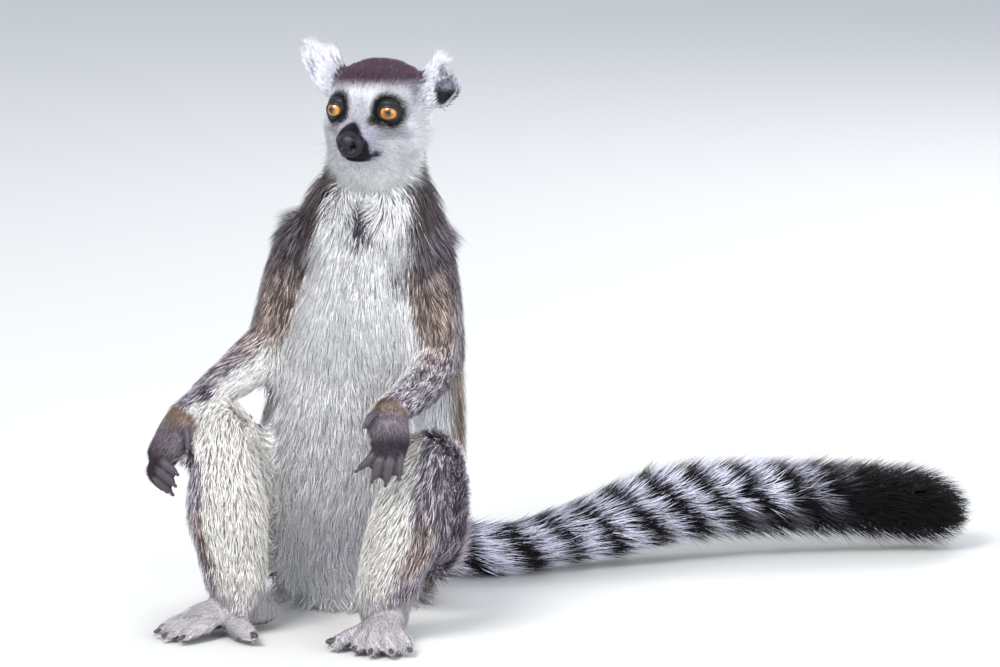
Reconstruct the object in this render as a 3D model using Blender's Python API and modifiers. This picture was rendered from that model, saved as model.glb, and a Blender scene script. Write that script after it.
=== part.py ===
"""A ring-tailed lemur sitting upright on the ground, as a still life-size model.

The lemur faces -Y, its own left is +X, and the floor is z = 0.  Every size is
measured to the tips of the coat.  Each part of the body is built from a few
rounded forms, fused into one skin, and then parted from its neighbours by thin
cuts, so that the parts meet without touching.
"""

import math

import bmesh
import bpy
from mathutils import Matrix, Vector

MM = 0.001

# Driving sizes and places, in millimetres.
GAP = 0.4  # width of the thin cuts between two parts
RING_STEP = 5.0  # distance between the rings of a lofted form
SIDES = 20  # corners of one ring
DOME_ANGLES = (28, 52, 72, 86)  # degrees at which a form's round end has a ring
BALL_SIDES, BALL_RINGS = 16, 9
SMOOTH_ANGLE = 40  # degrees, above which an edge is drawn sharp

# How each part is fused: voxel in millimetres, smoothing passes and triangles.
FUSE_TRUNK = (1.7, 7, 2100)
FUSE_LEG = (2.0, 6, 400)
FUSE_FOOT = (1.4, 5, 800)
FUSE_UPPER_ARM = (2.0, 4, 280)
FUSE_FOREARM = (1.1, 3, 810)
FUSE_TAIL = (2.5, 4, 610)
FUSE_EAR = (1.2, 3, 300)

HEAD_CENTRE = (28.5, -5.5, 351.5)
HEAD_TURN = math.radians(-11)  # towards the lemur's own right
EYE_RADIUS = 8.0
EYE_PLACE = (18.8, -27.6, 3.0)  # from the head's centre, left eye
EYE_DIVERGENCE = math.radians(18)
LID_RADII = (11.5, 7.3, 11.5)  # across, forwards and up

# Rounded forms of the head: centre and radii, from the head's centre.
SKULL = [
    ((0, 2, 7), (38, 37, 31)),  # brain case
    ((0, -15, -2), (34, 22, 25)),  # face mask
    ((14, -3, -12), (27, 28, 25)),  # left cheek
    ((-14, -3, -12), (27, 28, 25)),  # right cheek
    ((0, -26, -11), (22, 21, 15)),  # root of the muzzle
    ((17.5, -20, 3), (14, 12.5, 14)),  # left orbit
    ((-17.5, -20, 3), (14, 12.5, 14)),  # right orbit
]
MUZZLE = [
    ((0, -22, -9), 21, 15),
    ((0, -33, -12), 17.5, 13.5),
    ((0, -42, -15), 15, 12.5),
    ((0, -49, -17), 11.5, 11),
]
JAW = [
    ((0, -14, -21), 22, 14),
    ((0, -31, -22), 17, 11.5),
    ((0, -41, -23), 12, 8.5),
]

# Cross sections from the floor up: centre, half width, half depth.
TRUNK = [
    ((0, 24, 6), 60, 48),
    ((1, 22, 40), 71, 58),
    ((5, 15, 85), 75, 66),
    ((11, 11, 130), 76, 66),
    ((16, 10, 175), 69, 62),
    ((17, 8, 210), 59, 57),
    ((18, 8, 240), 50, 51),
    ((19, 8, 262), 46, 46),
]
NECK = [
    ((19, 8, 262), 46, 45),
    ((20, 7, 285), 43, 41),
    ((22, 3, 305), 37, 37),
    ((25, -1, 328), 36, 35),
]
SHOULDERS = ((20, 6, 254), (54, 40, 32))
NECK_UP = (0, -0.3, 1)
NECK_HEAD_CUT = (22, 3, 312)
NECK_TRUNK_CUT = (20, 8, 280)

# Limb centre lines from the body outwards: point, half width, half depth.
ARM_RIGHT = [
    ((-26, 8, 256), 25, 29),
    ((-37, 3, 235), 21, 26),
    ((-45, 0, 212), 18.5, 22),
    ((-50, -1, 190), 18, 20),
    ((-60, -20, 175), 20, 17),
    ((-76, -46, 162), 16, 14),
    ((-93, -70, 148), 11.5, 10.5),
]
ARM_LEFT = [
    ((51, 6, 257), 25, 29),
    ((60, -1, 236), 23, 27),
    ((66, -5, 212), 20.5, 24),
    ((69, -6, 189), 18.5, 21),
    ((68, -26, 174), 17, 17),
    ((62, -54, 164), 14.5, 14.5),
    ((53, -82, 158), 11.5, 11),
]
ELBOW_STATION = 3
LEG_RIGHT = [
    ((-44, 32, 46), 38, 40),
    ((-60, -12, 88), 36, 38),
    ((-68, -44, 120), 28, 29),
    ((-69, -60, 131), 23.5, 23.5),
    ((-66, -78, 113), 26.5, 24),
    ((-61, -90, 88), 30.5, 26),
    ((-57, -92, 60), 27, 24),
    ((-53, -90, 36), 22, 21),
    ((-52, -88, 18), 18, 18),
]
LEG_LEFT = [
    ((44, 32, 46), 38, 40),
    ((57, -12, 87), 36, 38),
    ((69, -42, 112), 28, 29),
    ((72, -58, 121), 23, 23),
    ((70, -76, 106), 25.5, 24),
    ((67, -88, 83), 30, 26),
    ((57, -92, 57), 25.5, 24),
    ((50, -91, 34), 20.5, 20),
    ((49, -90, 18), 18, 18),
]
KNEE_STATION, ANKLE_STATION = 3, 7
HAUNCH_RADII = (36, 44, 36)
HAUNCH_DROP = 16  # below the middle of the thigh's first stretch

# Hands: the palm's sections, then the digits from root to tip, thumb first.
PALM_RIGHT = [
    ((-93, -70, 148), 11.5, 9.5),
    ((-99, -77, 136), 13.0, 8.5),
    ((-107, -82, 118), 13.0, 7.0),
]
FINGERS_RIGHT = [
    [(-95, -79, 143), (-88, -88, 136), (-87, -93, 126)],
    [(-109, -88, 119), (-101, -96, 116), (-95, -96, 111)],
    [(-113, -86, 114), (-104, -96, 110), (-97, -95, 103)],
    [(-116, -80, 109), (-108, -92, 104), (-100, -91, 96)],
    [(-115, -75, 105), (-112, -84, 101), (-106, -84, 96)],
]
PALM_LEFT = [
    ((53, -82, 158), 11.5, 9.5),
    ((55, -97, 151), 13.5, 8.5),
    ((59, -110, 140), 14, 7.5),
]
FINGERS_LEFT = [
    [(50, -92, 157), (44, -102, 157), (41, -108, 151)],
    [(54, -113, 139), (48, -120, 132), (40, -121, 124)],
    [(58, -114, 138), (54, -123, 129), (50, -122, 118)],
    [(62, -112, 138), (61, -123, 128), (59, -122, 116)],
    [(66, -107, 138), (67, -118, 130), (67, -118, 120)],
]
FINGER_RADII = (4.6, 4.1, 3.3)

# Feet: ankle, the way the toes point and the way the great toe points.  A
# section has a half width and a half height, and toes also have their heights.
FEET = {
    "right": ((-52, -88, 18), math.radians(-48), math.radians(38)),
    "left": ((49, -90, 18), math.radians(12), math.radians(-38)),
}
HEEL_LENGTH, SOLE_LENGTH, SOLE_DROP = 18, 34, 6
HEEL, INSTEP, ARCH, BALL = (12, 10.5), (15, 13.5), (15.5, 11), (15.5, 9)
TOE_FAN = [math.radians(a) for a in (-20, -7, 6, 19)]
TOE_LENGTHS = (19, 25, 26, 22)
TOE_RADII, TOE_HEIGHTS = (7.0, 6.2, 4.8), (9, 8, 4.5)
GREAT_TOE_RADII, GREAT_TOE_HEIGHTS = (8.5, 8.0, 6.0), (10, 8, 5.5)
GREAT_TOE_LENGTH, GREAT_TOE_ROOT = 42, 10
TOE_FLATNESS = 0.9

# The tail's centre line, half width and half height to the coat's tips.
TAIL = [
    ((0, 60, 30), 20, 22),
    ((-4, 92, 22), 20, 22),
    ((18, 116, 19), 19.5, 20),
    ((52, 116, 18), 19, 19.5),
    ((86, 124, 18.5), 19.5, 19.5),
    ((120, 146, 23), 23, 24),
    ((152, 170, 29.5), 29.5, 30.5),
    ((188, 196, 38), 38, 39),
    ((232, 222, 41), 41, 42),
    ((280, 243, 40), 39.5, 41),
    ((325, 260, 37), 36, 38.5),
    ((356, 269, 34), 31, 35),
    ((372, 273, 32), 24, 29),
]
TAIL_CUTS = [(64, 118), (160, 176), (258, 234)]

# Ears, from the head's centre: root, tip, half width and half thickness of the
# cup and of the tuft before it, and the way the opening faces.
EARS = {
    "right": (
        ((-33, 5, 15), (-56, 9, 34), 15.0, 6.0),
        ((-37, 2, 18), (-64, 5, 45.5), 11.0, 5.0),
        (-0.3, -0.95, 0.05),
    ),
    "left": (
        ((31, 6, 12), (52, 9, 18), 14.0, 6.5),
        ((31, 2, 20), (43, 5, 46), 7.0, 5.0),
        (0.45, -0.88, -0.1),
    ),
}

# Where a section lies between root and tip, and its share of the full width.
CUP_SECTIONS = ((-0.3, 0.8), (0.1, 0.95), (0.45, 1.0), (0.75, 0.75), (0.85, 0.6))
TUFT_SECTIONS = ((-0.2, 1.0), (0.2, 1.0), (0.5, 0.75), (0.8, 0.42), (0.95, 0.25))

FUR_GREY = (0.28, 0.25, 0.23)
FUR_WHITE = (0.75, 0.74, 0.72)
FUR_BLACK = (0.05, 0.045, 0.045)
SKIN_BLACK = (0.04, 0.035, 0.04)
EYE_AMBER = (0.75, 0.30, 0.03)
FUR_ROUGHNESS, SKIN_ROUGHNESS, EYE_ROUGHNESS = 0.9, 0.6, 0.1


def head_place(x, y, z):
    """A point of the head, given from its centre with the face towards -Y."""
    turned = Matrix.Rotation(HEAD_TURN, 3, "Z") @ Vector((x, y, z))
    return tuple(turned + Vector(HEAD_CENTRE))


def level_heading(angle):
    """The level direction at an angle from -Y, turning towards +X."""
    return Vector((math.sin(angle), -math.cos(angle), 0))


def clear_scene():
    for old in list(bpy.data.objects):
        bpy.data.objects.remove(old)


def material(name, colour, roughness):
    made = bpy.data.materials.new(name)
    made.use_nodes = True
    shader = made.node_tree.nodes["Principled BSDF"]
    shader.inputs["Base Color"].default_value = (*colour, 1)
    shader.inputs["Roughness"].default_value = roughness
    shader.inputs["Metallic"].default_value = 0
    return made


def between(values, share):
    """Catmull-Rom interpolation through four tuples, from the second to the third."""
    a, b, c, d = values
    return [
        0.5 * (2 * q + (r - p) * share + (2 * p - 5 * q + 4 * r - s) * share**2
               + (3 * q - p - 3 * r + s) * share**3)
        for p, q, r, s in zip(a, b, c, d)
    ]


def smooth_stations(stations):
    """More stations, on a smooth curve through the given ones."""
    rows = [(*point, width, depth) for point, width, depth in stations]
    rows = [rows[0], *rows, rows[-1]]
    found = []
    for i in range(1, len(rows) - 2):
        distance = math.dist(rows[i][:3], rows[i + 1][:3])
        steps = max(1, round(distance / RING_STEP))
        found += [between(rows[i - 1:i + 3], k / steps) for k in range(steps)]
    found.append(list(rows[-2]))
    return [(Vector(row[:3]), row[3], row[4]) for row in found]


def ring(shape, centre, width, depth, along, side):
    """One ellipse of edges across the direction along."""
    across = (side - along * side.dot(along)).normalized()
    turn = Matrix((across, along.cross(across), along)).transposed().to_4x4()
    place = Matrix.Translation(centre * MM) @ turn
    place = place @ Matrix.Diagonal((width * MM, depth * MM, 1, 1))
    made = bmesh.ops.create_circle(shape, segments=SIDES, radius=1, matrix=place)
    edges = {edge for vertex in made["verts"] for edge in vertex.link_edges}
    return list(edges)


def loft(shape, stations, side=(1, 0, 0)):
    """A round-ended form through elliptical sections, added to the bmesh."""
    rows = smooth_stations(stations)
    points = [row[0] for row in rows]
    last = len(points) - 1
    tangents = [
        (points[min(i + 1, last)] - points[max(i - 1, 0)]).normalized()
        for i in range(len(points))
    ]
    side = Vector(side)
    rings = []
    for end, sign in ((0, -1), (last, 1)):
        centre, width, depth = rows[end]
        reach = min(width, depth) * sign
        domes = []
        for angle in map(math.radians, DOME_ANGLES):
            shrink = math.cos(angle)
            domes.append(
                ring(shape, centre + tangents[end] * reach * math.sin(angle),
                     width * shrink, depth * shrink, tangents[end], side))
        if sign < 0:
            rings += domes[::-1]
            rings += [ring(shape, *rows[i], tangents[i], side)
                      for i in range(len(rows))]
        else:
            rings += domes
    for first, second in zip(rings, rings[1:]):
        bmesh.ops.bridge_loops(shape, edges=first + second)
    for end in (rings[0], rings[-1]):
        bmesh.ops.holes_fill(shape, edges=end, sides=SIDES)


def ball(shape, centre, radii, turn=None):
    """An ellipsoid, added to the bmesh."""
    place = Matrix.Translation(Vector(centre) * MM)
    if turn is not None:
        place = place @ turn.to_4x4()
    place = place @ Matrix.Diagonal((*(r * MM for r in radii), 1))
    bmesh.ops.create_uvsphere(
        shape, u_segments=BALL_SIDES, v_segments=BALL_RINGS, radius=1, matrix=place)


def add_trunk(shape):
    loft(shape, TRUNK)
    loft(shape, NECK)
    ball(shape, *SHOULDERS)


def add_head(shape):
    turn = Matrix.Rotation(HEAD_TURN, 3, "Z")
    for centre, radii in SKULL:
        ball(shape, head_place(*centre), radii, turn)
    for sign in (-1, 1):
        gaze = Matrix.Rotation(HEAD_TURN + sign * EYE_DIVERGENCE, 3, "Z")
        x, y, z = EYE_PLACE
        ball(shape, head_place(sign * x, y, z), LID_RADII, gaze)
    for stations in (MUZZLE, JAW):
        loft(shape, [(head_place(*point), w, d) for point, w, d in stations])


def add_leg(shape, stations):
    knee = stations[KNEE_STATION]
    loft(shape, stations[:KNEE_STATION + 1])
    loft(shape, [knee, *stations[KNEE_STATION + 1:]])
    hip, thigh = Vector(stations[0][0]), Vector(stations[1][0])
    ball(shape, hip.lerp(thigh, 0.5) - Vector((0, 0, HAUNCH_DROP)), HAUNCH_RADII)


def add_hand(shape, palm, fingers):
    loft(shape, palm)
    for digit in fingers:
        loft(shape, [(point, r, r) for point, r in zip(digit, FINGER_RADII)])


def add_toe(shape, root, along, length, heights, radii):
    """A toe that comes down from its root to lie flat on the floor."""
    points = [root, root + along * length * 0.6, root + along * length]
    loft(shape, [((p.x, p.y, height), radius, radius * TOE_FLATNESS)
                 for p, height, radius in zip(points, heights, radii)])


def add_foot(shape, side):
    ankle, heading, great_heading = FEET[side]
    ankle = Vector(ankle)
    ahead = level_heading(heading)
    low = Vector((0, 0, -SOLE_DROP))
    heel = ankle - ahead * HEEL_LENGTH + low
    front = ankle + ahead * SOLE_LENGTH + low
    loft(shape, [
        (tuple(heel), *HEEL),
        (tuple(ankle + low * 0.3), *INSTEP),
        (tuple(ankle.lerp(front, 0.6)), *ARCH),
        (tuple(front), *BALL),
    ], side=ahead.cross(Vector((0, 0, 1))))
    for fan, length in zip(TOE_FAN, TOE_LENGTHS):
        along = level_heading(heading + fan)
        root = ankle + along * SOLE_LENGTH * 0.95
        add_toe(shape, root, along, length, TOE_HEIGHTS, TOE_RADII)
    add_toe(shape, ankle + ahead * GREAT_TOE_ROOT, level_heading(great_heading),
            GREAT_TOE_LENGTH, GREAT_TOE_HEIGHTS, GREAT_TOE_RADII)


def triangle_count(obj):
    graph = bpy.context.evaluated_depsgraph_get()
    evaluated = obj.evaluated_get(graph)
    mesh = evaluated.to_mesh()
    mesh.calc_loop_triangles()
    count = len(mesh.loop_triangles)
    evaluated.to_mesh_clear()
    return count


def apply_modifiers(obj):
    """Replaces the object's mesh by what its modifiers make of it."""
    graph = bpy.context.evaluated_depsgraph_get()
    made = bpy.data.meshes.new_from_object(obj.evaluated_get(graph))
    obj.modifiers.clear()
    obj.data = made


def fused(name, adders, voxel, smoothing, triangles):
    """One closed surface round all the forms that the adders make."""
    shape = bmesh.new()
    for adder, *arguments in adders:
        adder(shape, *arguments)
    bmesh.ops.recalc_face_normals(shape, faces=shape.faces)
    mesh = bpy.data.meshes.new(name)
    shape.to_mesh(mesh)
    shape.free()
    obj = bpy.data.objects.new(name, mesh)
    BODY.objects.link(obj)
    remesh = obj.modifiers.new("Fuse", "REMESH")
    remesh.mode = "VOXEL"
    remesh.voxel_size = voxel * MM
    soften = obj.modifiers.new("Soften", "SMOOTH")
    soften.factor = 0.5
    soften.iterations = smoothing
    count = triangle_count(obj)
    thin = obj.modifiers.new("Thin out", "DECIMATE")
    thin.ratio = min(1.0, triangles / count)
    apply_modifiers(obj)
    return obj


def cut_away(obj, point, normal):
    """Removes what lies on the normal's side of a plane, and closes the cut."""
    shape = bmesh.new()
    shape.from_mesh(obj.data)
    everything = [*shape.verts, *shape.edges, *shape.faces]
    cut = bmesh.ops.bisect_plane(
        shape, geom=everything, dist=1e-7, plane_co=Vector(point) * MM,
        plane_no=Vector(normal).normalized(), clear_outer=True)
    rim = [item for item in cut["geom_cut"] if isinstance(item, bmesh.types.BMEdge)]
    if rim:
        bmesh.ops.holes_fill(shape, edges=rim, sides=0)
    bmesh.ops.triangulate(shape, faces=shape.faces)
    shape.to_mesh(obj.data)
    shape.free()


def keep_side(obj, point, normal, gap=GAP / 2):
    """Keeps the part of the object on the normal's side of a plane, half a gap off."""
    normal = Vector(normal).normalized()
    cut_away(obj, Vector(point) + normal * gap, -normal)


def stand_on_floor(obj):
    cut_away(obj, (0, 0, 0), (0, 0, -1))


def keep_largest(obj):
    """Drops the loose crumbs that a difference can leave."""
    shape = bmesh.new()
    shape.from_mesh(obj.data)
    bmesh.ops.remove_doubles(shape, verts=shape.verts, dist=1e-6)
    unseen, islands = set(shape.faces), []
    while unseen:
        todo = [unseen.pop()]
        island = []
        while todo:
            face = todo.pop()
            island.append(face)
            for edge in face.edges:
                for other in edge.link_faces:
                    if other in unseen:
                        unseen.remove(other)
                        todo.append(other)
        islands.append(island)
    islands.sort(key=len)
    crumbs = [face for island in islands[:-1] for face in island]
    bmesh.ops.delete(shape, geom=crumbs, context="FACES")
    bmesh.ops.triangulate(shape, faces=shape.faces)
    shape.to_mesh(obj.data)
    shape.free()


def clear_of(obj, *others):
    """Takes from the object the space of its neighbours and a gap round them."""
    for other in others:
        grown = other.copy()
        grown.data = other.data.copy()
        grown.hide_render = True
        grown.display_type = "WIRE"
        CUTTERS.objects.link(grown)
        swell = grown.modifiers.new("Grow", "DISPLACE")
        swell.mid_level = 0
        swell.strength = GAP * MM
        apply_modifiers(grown)
        difference = obj.modifiers.new("Clear", "BOOLEAN")
        difference.operation = "DIFFERENCE"
        difference.object = grown
        apply_modifiers(obj)
        bpy.data.objects.remove(grown)
        keep_largest(obj)


def bisector(before, joint, after):
    """The normal of the plane that halves a bent joint, towards the part before it."""
    before, joint, after = Vector(before), Vector(joint), Vector(after)
    return (before - joint).normalized() - (after - joint).normalized()


def twin(obj, name):
    """A copy of the object under another name."""
    copy = obj.copy()
    copy.data = obj.data.copy()
    copy.name = name
    BODY.objects.link(copy)
    return copy


def make_head_neck_and_trunk():
    trunk = fused("trunk", [(add_trunk,), (add_head,)], *FUSE_TRUNK)
    neck, head = twin(trunk, "neck"), twin(trunk, "head")
    up = Vector(NECK_UP)
    keep_side(head, NECK_HEAD_CUT, up)
    keep_side(neck, NECK_HEAD_CUT, -up)
    keep_side(neck, NECK_TRUNK_CUT, up)
    keep_side(trunk, NECK_TRUNK_CUT, -up)
    stand_on_floor(trunk)
    return head, neck, trunk


def make_leg(side, stations, trunk):
    """Thigh, shank and foot of one side."""
    points = [station[0] for station in stations]
    knee, ankle = points[KNEE_STATION], points[ANKLE_STATION]
    knee_normal = bisector(points[1], knee, points[5])
    ankle_normal = Vector((0, 0, 1))
    leg = [(add_leg, stations)]
    thigh = fused("thigh_" + side, leg, *FUSE_LEG)
    shank = twin(thigh, "shank_" + side)
    keep_side(thigh, knee, knee_normal)
    stand_on_floor(thigh)
    clear_of(thigh, trunk)
    keep_side(shank, knee, -knee_normal)
    keep_side(shank, ankle, ankle_normal)
    clear_of(shank, trunk)
    foot = fused("foot_" + side, [*leg, (add_foot, side)], *FUSE_FOOT)
    keep_side(foot, ankle, -ankle_normal)
    keep_side(foot, knee, -knee_normal)
    stand_on_floor(foot)
    keep_largest(foot)
    clear_of(foot, thigh)
    return thigh, shank, foot


def make_arm(side, stations, palm, fingers, trunk, neck, thigh, shank):
    """Upper arm, forearm and hand of one side."""
    points = [station[0] for station in stations]
    elbow, wrist = points[ELBOW_STATION], points[-1]
    elbow_normal = bisector(points[1], elbow, points[-2])
    wrist_normal = bisector(points[-2], wrist, palm[1][0])
    upper = fused("upper_arm_" + side, [(loft, stations)], *FUSE_UPPER_ARM)
    keep_side(upper, elbow, elbow_normal)
    clear_of(upper, trunk, neck)
    whole = [(loft, stations), (add_hand, palm, fingers)]
    fore = fused("forearm_" + side, whole, *FUSE_FOREARM)
    hand = twin(fore, "hand_" + side)
    keep_side(fore, elbow, -elbow_normal)
    keep_side(fore, wrist, wrist_normal)
    keep_largest(fore)
    clear_of(fore, trunk, thigh, shank)
    keep_side(hand, wrist, -wrist_normal)
    keep_largest(hand)
    clear_of(hand, thigh, shank)
    return upper, fore, hand


def make_tail(trunk, *thighs):
    """The tail in four lengths, cut square to its own line."""
    centres = [Vector(row[0]) for row in smooth_stations(TAIL)]
    cuts = []
    for x, y in TAIL_CUTS:
        near = min(range(1, len(centres) - 1),
                   key=lambda i: (centres[i].xy - Vector((x, y))).length)
        cuts.append((centres[near], centres[near + 1] - centres[near - 1]))
    whole = fused("tail_1", [(loft, TAIL, (0, 0, 1))], *FUSE_TAIL)
    made = [whole] + [twin(whole, f"tail_{i + 2}") for i in range(len(cuts))]
    for i, length in enumerate(made):
        if i:
            keep_side(length, cuts[i - 1][0], cuts[i - 1][1])
        if i < len(cuts):
            keep_side(length, cuts[i][0], -cuts[i][1])
        stand_on_floor(length)
        keep_largest(length)
    clear_of(made[0], trunk, *thighs)
    return made


def make_eye(side, sign):
    x, y, z = EYE_PLACE
    shape = bmesh.new()
    ball(shape, head_place(sign * x, y, z), (EYE_RADIUS,) * 3)
    mesh = bpy.data.meshes.new("eye_" + side)
    shape.to_mesh(mesh)
    shape.free()
    eye = bpy.data.objects.new("eye_" + side, mesh)
    BODY.objects.link(eye)
    return eye


def make_ear(side, head):
    """A cupped ear with a tuft before it, rooted in the side of the head."""
    cup, tuft, opening = EARS[side]
    turn = Matrix.Rotation(HEAD_TURN, 3, "Z")
    facing = turn @ Vector(opening)
    adders = []
    for leaf, sections in ((cup, CUP_SECTIONS), (tuft, TUFT_SECTIONS)):
        root, tip = (Vector(head_place(*point)) for point in leaf[:2])
        across = (tip - root).cross(facing).normalized()
        stations = [(tuple(root.lerp(tip, share)), leaf[2] * size,
                     leaf[3] * (0.5 + 0.5 * size))
                    for share, size in sections]
        adders.append((loft, stations, across))
    ear = fused("ear_" + side, adders, *FUSE_EAR)
    clear_of(ear, head)
    return ear


def colour(obj, finish):
    obj.data.materials.clear()
    obj.data.materials.append(finish)
    obj.data.shade_smooth()
    obj.data.set_sharp_from_angle(angle=math.radians(SMOOTH_ANGLE))


def centre_on_footprint(objects):
    """Moves everything so that the floor point under the middle of its box is the origin."""
    corners = [vertex.co for obj in objects for vertex in obj.data.vertices]
    low = Vector([min(c[i] for c in corners) for i in range(3)])
    high = Vector([max(c[i] for c in corners) for i in range(3)])
    middle = (low + high) / 2
    shift = Matrix.Translation((-middle.x, -middle.y, 0))
    for obj in objects:
        obj.data.transform(shift)


def main():
    head, neck, trunk = make_head_neck_and_trunk()
    eyes = [make_eye("right", -1), make_eye("left", 1)]
    clear_of(head, *eyes)
    ears = [make_ear(side, head) for side in EARS]
    legs = {}
    for side, stations in (("right", LEG_RIGHT), ("left", LEG_LEFT)):
        legs[side] = make_leg(side, stations, trunk)
    arms = {}
    for side, stations, palm, fingers in (
            ("right", ARM_RIGHT, PALM_RIGHT, FINGERS_RIGHT),
            ("left", ARM_LEFT, PALM_LEFT, FINGERS_LEFT)):
        thigh, shank, _ = legs[side]
        arms[side] = make_arm(side, stations, palm, fingers,
                              trunk, neck, thigh, shank)
    tail = make_tail(trunk, legs["right"][0], legs["left"][0])
    grey = material("fur_grey", FUR_GREY, FUR_ROUGHNESS)
    white = material("fur_white", FUR_WHITE, FUR_ROUGHNESS)
    black = material("fur_black", FUR_BLACK, FUR_ROUGHNESS)
    bare = material("skin_black", SKIN_BLACK, SKIN_ROUGHNESS)
    amber = material("eye_amber", EYE_AMBER, EYE_ROUGHNESS)
    finishes = {obj: white for obj in (head, neck, trunk, *ears)}
    finishes |= {obj: amber for obj in eyes}
    finishes |= {obj: black for obj in tail}
    for side in ("right", "left"):
        upper, fore, hand = arms[side]
        finishes |= {obj: grey for obj in (*legs[side], upper, fore)}
        finishes[hand] = bare
    for obj, finish in finishes.items():
        colour(obj, finish)
    centre_on_footprint(list(finishes))


clear_scene()
BODY = bpy.data.collections.new("ring_tailed_lemur")
CUTTERS = bpy.data.collections.new("cutters")
for group in (BODY, CUTTERS):
    bpy.context.scene.collection.children.link(group)
main()
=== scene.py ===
# %% [markdown]
# # A ring-tailed lemur, sitting upright
#
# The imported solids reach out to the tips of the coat. This lesson turns them
# into an animal: one skin a little way inside them, eyes and nails of their
# own, and then a coat of thin curved tufts that reaches back out to the
# solids' surface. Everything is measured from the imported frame.

# %% Load the frame
import math

import bmesh
import bpy
import numpy as np
from mathutils import Matrix, Vector
from mathutils.bvhtree import BVHTree
from mathutils.kdtree import KDTree


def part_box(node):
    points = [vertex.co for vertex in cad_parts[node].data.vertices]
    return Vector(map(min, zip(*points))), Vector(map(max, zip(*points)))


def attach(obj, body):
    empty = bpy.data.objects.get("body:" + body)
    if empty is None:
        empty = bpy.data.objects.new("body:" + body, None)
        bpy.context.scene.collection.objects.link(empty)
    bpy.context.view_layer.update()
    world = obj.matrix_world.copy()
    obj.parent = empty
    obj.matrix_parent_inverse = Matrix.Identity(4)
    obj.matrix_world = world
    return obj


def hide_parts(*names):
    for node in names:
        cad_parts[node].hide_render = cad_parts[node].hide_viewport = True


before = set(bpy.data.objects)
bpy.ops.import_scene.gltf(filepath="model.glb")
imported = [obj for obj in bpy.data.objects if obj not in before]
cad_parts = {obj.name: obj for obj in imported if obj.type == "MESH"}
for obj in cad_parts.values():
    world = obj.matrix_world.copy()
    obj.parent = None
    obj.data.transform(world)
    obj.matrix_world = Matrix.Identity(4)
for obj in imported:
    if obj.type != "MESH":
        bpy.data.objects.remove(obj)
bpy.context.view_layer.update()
MM = 0.001

# %% [markdown]
# ## Where things are
#
# The two eyes fix the head: the way from one to the other is the head's own
# sideways direction, and the point between them is the head's origin. The body
# is measured from the floor under its rump, a known step away from the eyes.
# Both frames are in millimetres, because a lemur's face is a matter of those.

# %% Frames of the head and the body
def middle(node):
    low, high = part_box(node)
    return np.array((low + high) / 2)


EYES_FROM_RUMP = np.array((23.2, -32.6, 354.5))
between_eyes = (middle("eye_left") + middle("eye_right")) / 2
sideways = middle("eye_left") - middle("eye_right")
sideways /= np.linalg.norm(sideways)
upward = np.array((0.0, 0.0, 1.0))
forward = np.cross(sideways, upward)
head_axes = np.array((sideways, forward, upward))
rump = between_eyes - EYES_FROM_RUMP * MM


def in_head(points):
    """Points as left, forward and up of the point between the eyes."""
    return (points - between_eyes) @ head_axes.T / MM


def head_point(left, ahead, up):
    return between_eyes + np.array((left, ahead, up)) @ head_axes * MM


def in_body(points):
    """Points as left, back and up of the floor under the rump."""
    return (points - rump) / MM


def body_point(x, y, z):
    return rump + np.array((x, y, z)) * MM


print("between the eyes:", between_eyes.round(4), "face looks along", forward.round(3))

# %% [markdown]
# ## Helpers
#
# Every material is a small network of nodes round one shader. The helpers add
# a node and fill its inputs, each with a constant or with what another node
# gives. Others put an object in the scene and tell the frame what it is.

# %% Materials
def fill(node, inputs):
    """Gives each of these inputs of a node its constant, or links it to an output."""
    for name, value in inputs.items():
        if isinstance(value, bpy.types.NodeSocket):
            node.id_data.links.new(value, node.inputs[name])
        else:
            node.inputs[name].default_value = value


def add_node(material, kind, output, inputs=None, **settings):
    """Adds a shader node to a material, and returns its output of this name."""
    node = material.node_tree.nodes.new("ShaderNode" + kind)
    for name, value in settings.items():
        setattr(node, name, value)
    fill(node, inputs or {})
    return node.outputs[output]


def new_material(name):
    """A material and its shader."""
    made = bpy.data.materials.new(name)
    made.use_nodes = True
    return made, made.node_tree.nodes["Principled BSDF"]


def noise(material, scale, detail, place=None):
    """A noise over the object, or over another place."""
    place = place or add_node(material, "TexCoord", "Object")
    return add_node(material, "TexNoise", "Fac", {"Vector": place, "Scale": scale, "Detail": detail})


def mottled(material, colour, pattern, spread):
    """A colour made unevenly darker and paler, by up to this share, where a pattern says."""
    uneven = add_node(material, "MapRange", "Result",
                      {"Value": pattern, "To Min": 1 - spread, "To Max": 1 + spread})
    return add_node(material, "Mix", "Result", {"Factor": 1, "A": colour, "B": uneven},
                    data_type="RGBA", blend_type="MULTIPLY")


def colour_ramp(material, value, stops):
    """A colour for each value, blended between stops that are a value and a colour."""
    colour = add_node(material, "ValToRGB", "Color", {"Fac": value})
    elements = colour.node.color_ramp.elements
    while len(elements) < len(stops):
        elements.new(0.5)
    for element, (position, shade) in zip(elements, stops):
        element.position = position
        element.color = (*shade, 1)
    return colour


# %% Objects and pieces
def add_object(name, data):
    made = bpy.data.objects.new(name, data)
    bpy.context.scene.collection.objects.link(made)
    return made


def mesh_from(shape, name):
    """A smooth mesh out of a bmesh, with its faces turned outwards."""
    bmesh.ops.recalc_face_normals(shape, faces=shape.faces)
    mesh = bpy.data.meshes.new(name)
    shape.to_mesh(mesh)
    shape.free()
    mesh.shade_smooth()
    return mesh


def add_piece(name, mesh, material, replaced=()):
    """A piece of the lemur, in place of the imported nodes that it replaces."""
    mesh.materials.append(material)
    piece = add_object(name, mesh)
    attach(piece, "root")
    if replaced:
        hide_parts(*replaced)
    print(name + ":", len(mesh.polygons), "faces")


# %% [markdown]
# ## Camera and studio
#
# The lemur is seen from a little to its left, from 10 degrees above, through a
# long lens. The floor is plain and pale, and large soft lamps stand round it.

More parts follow.
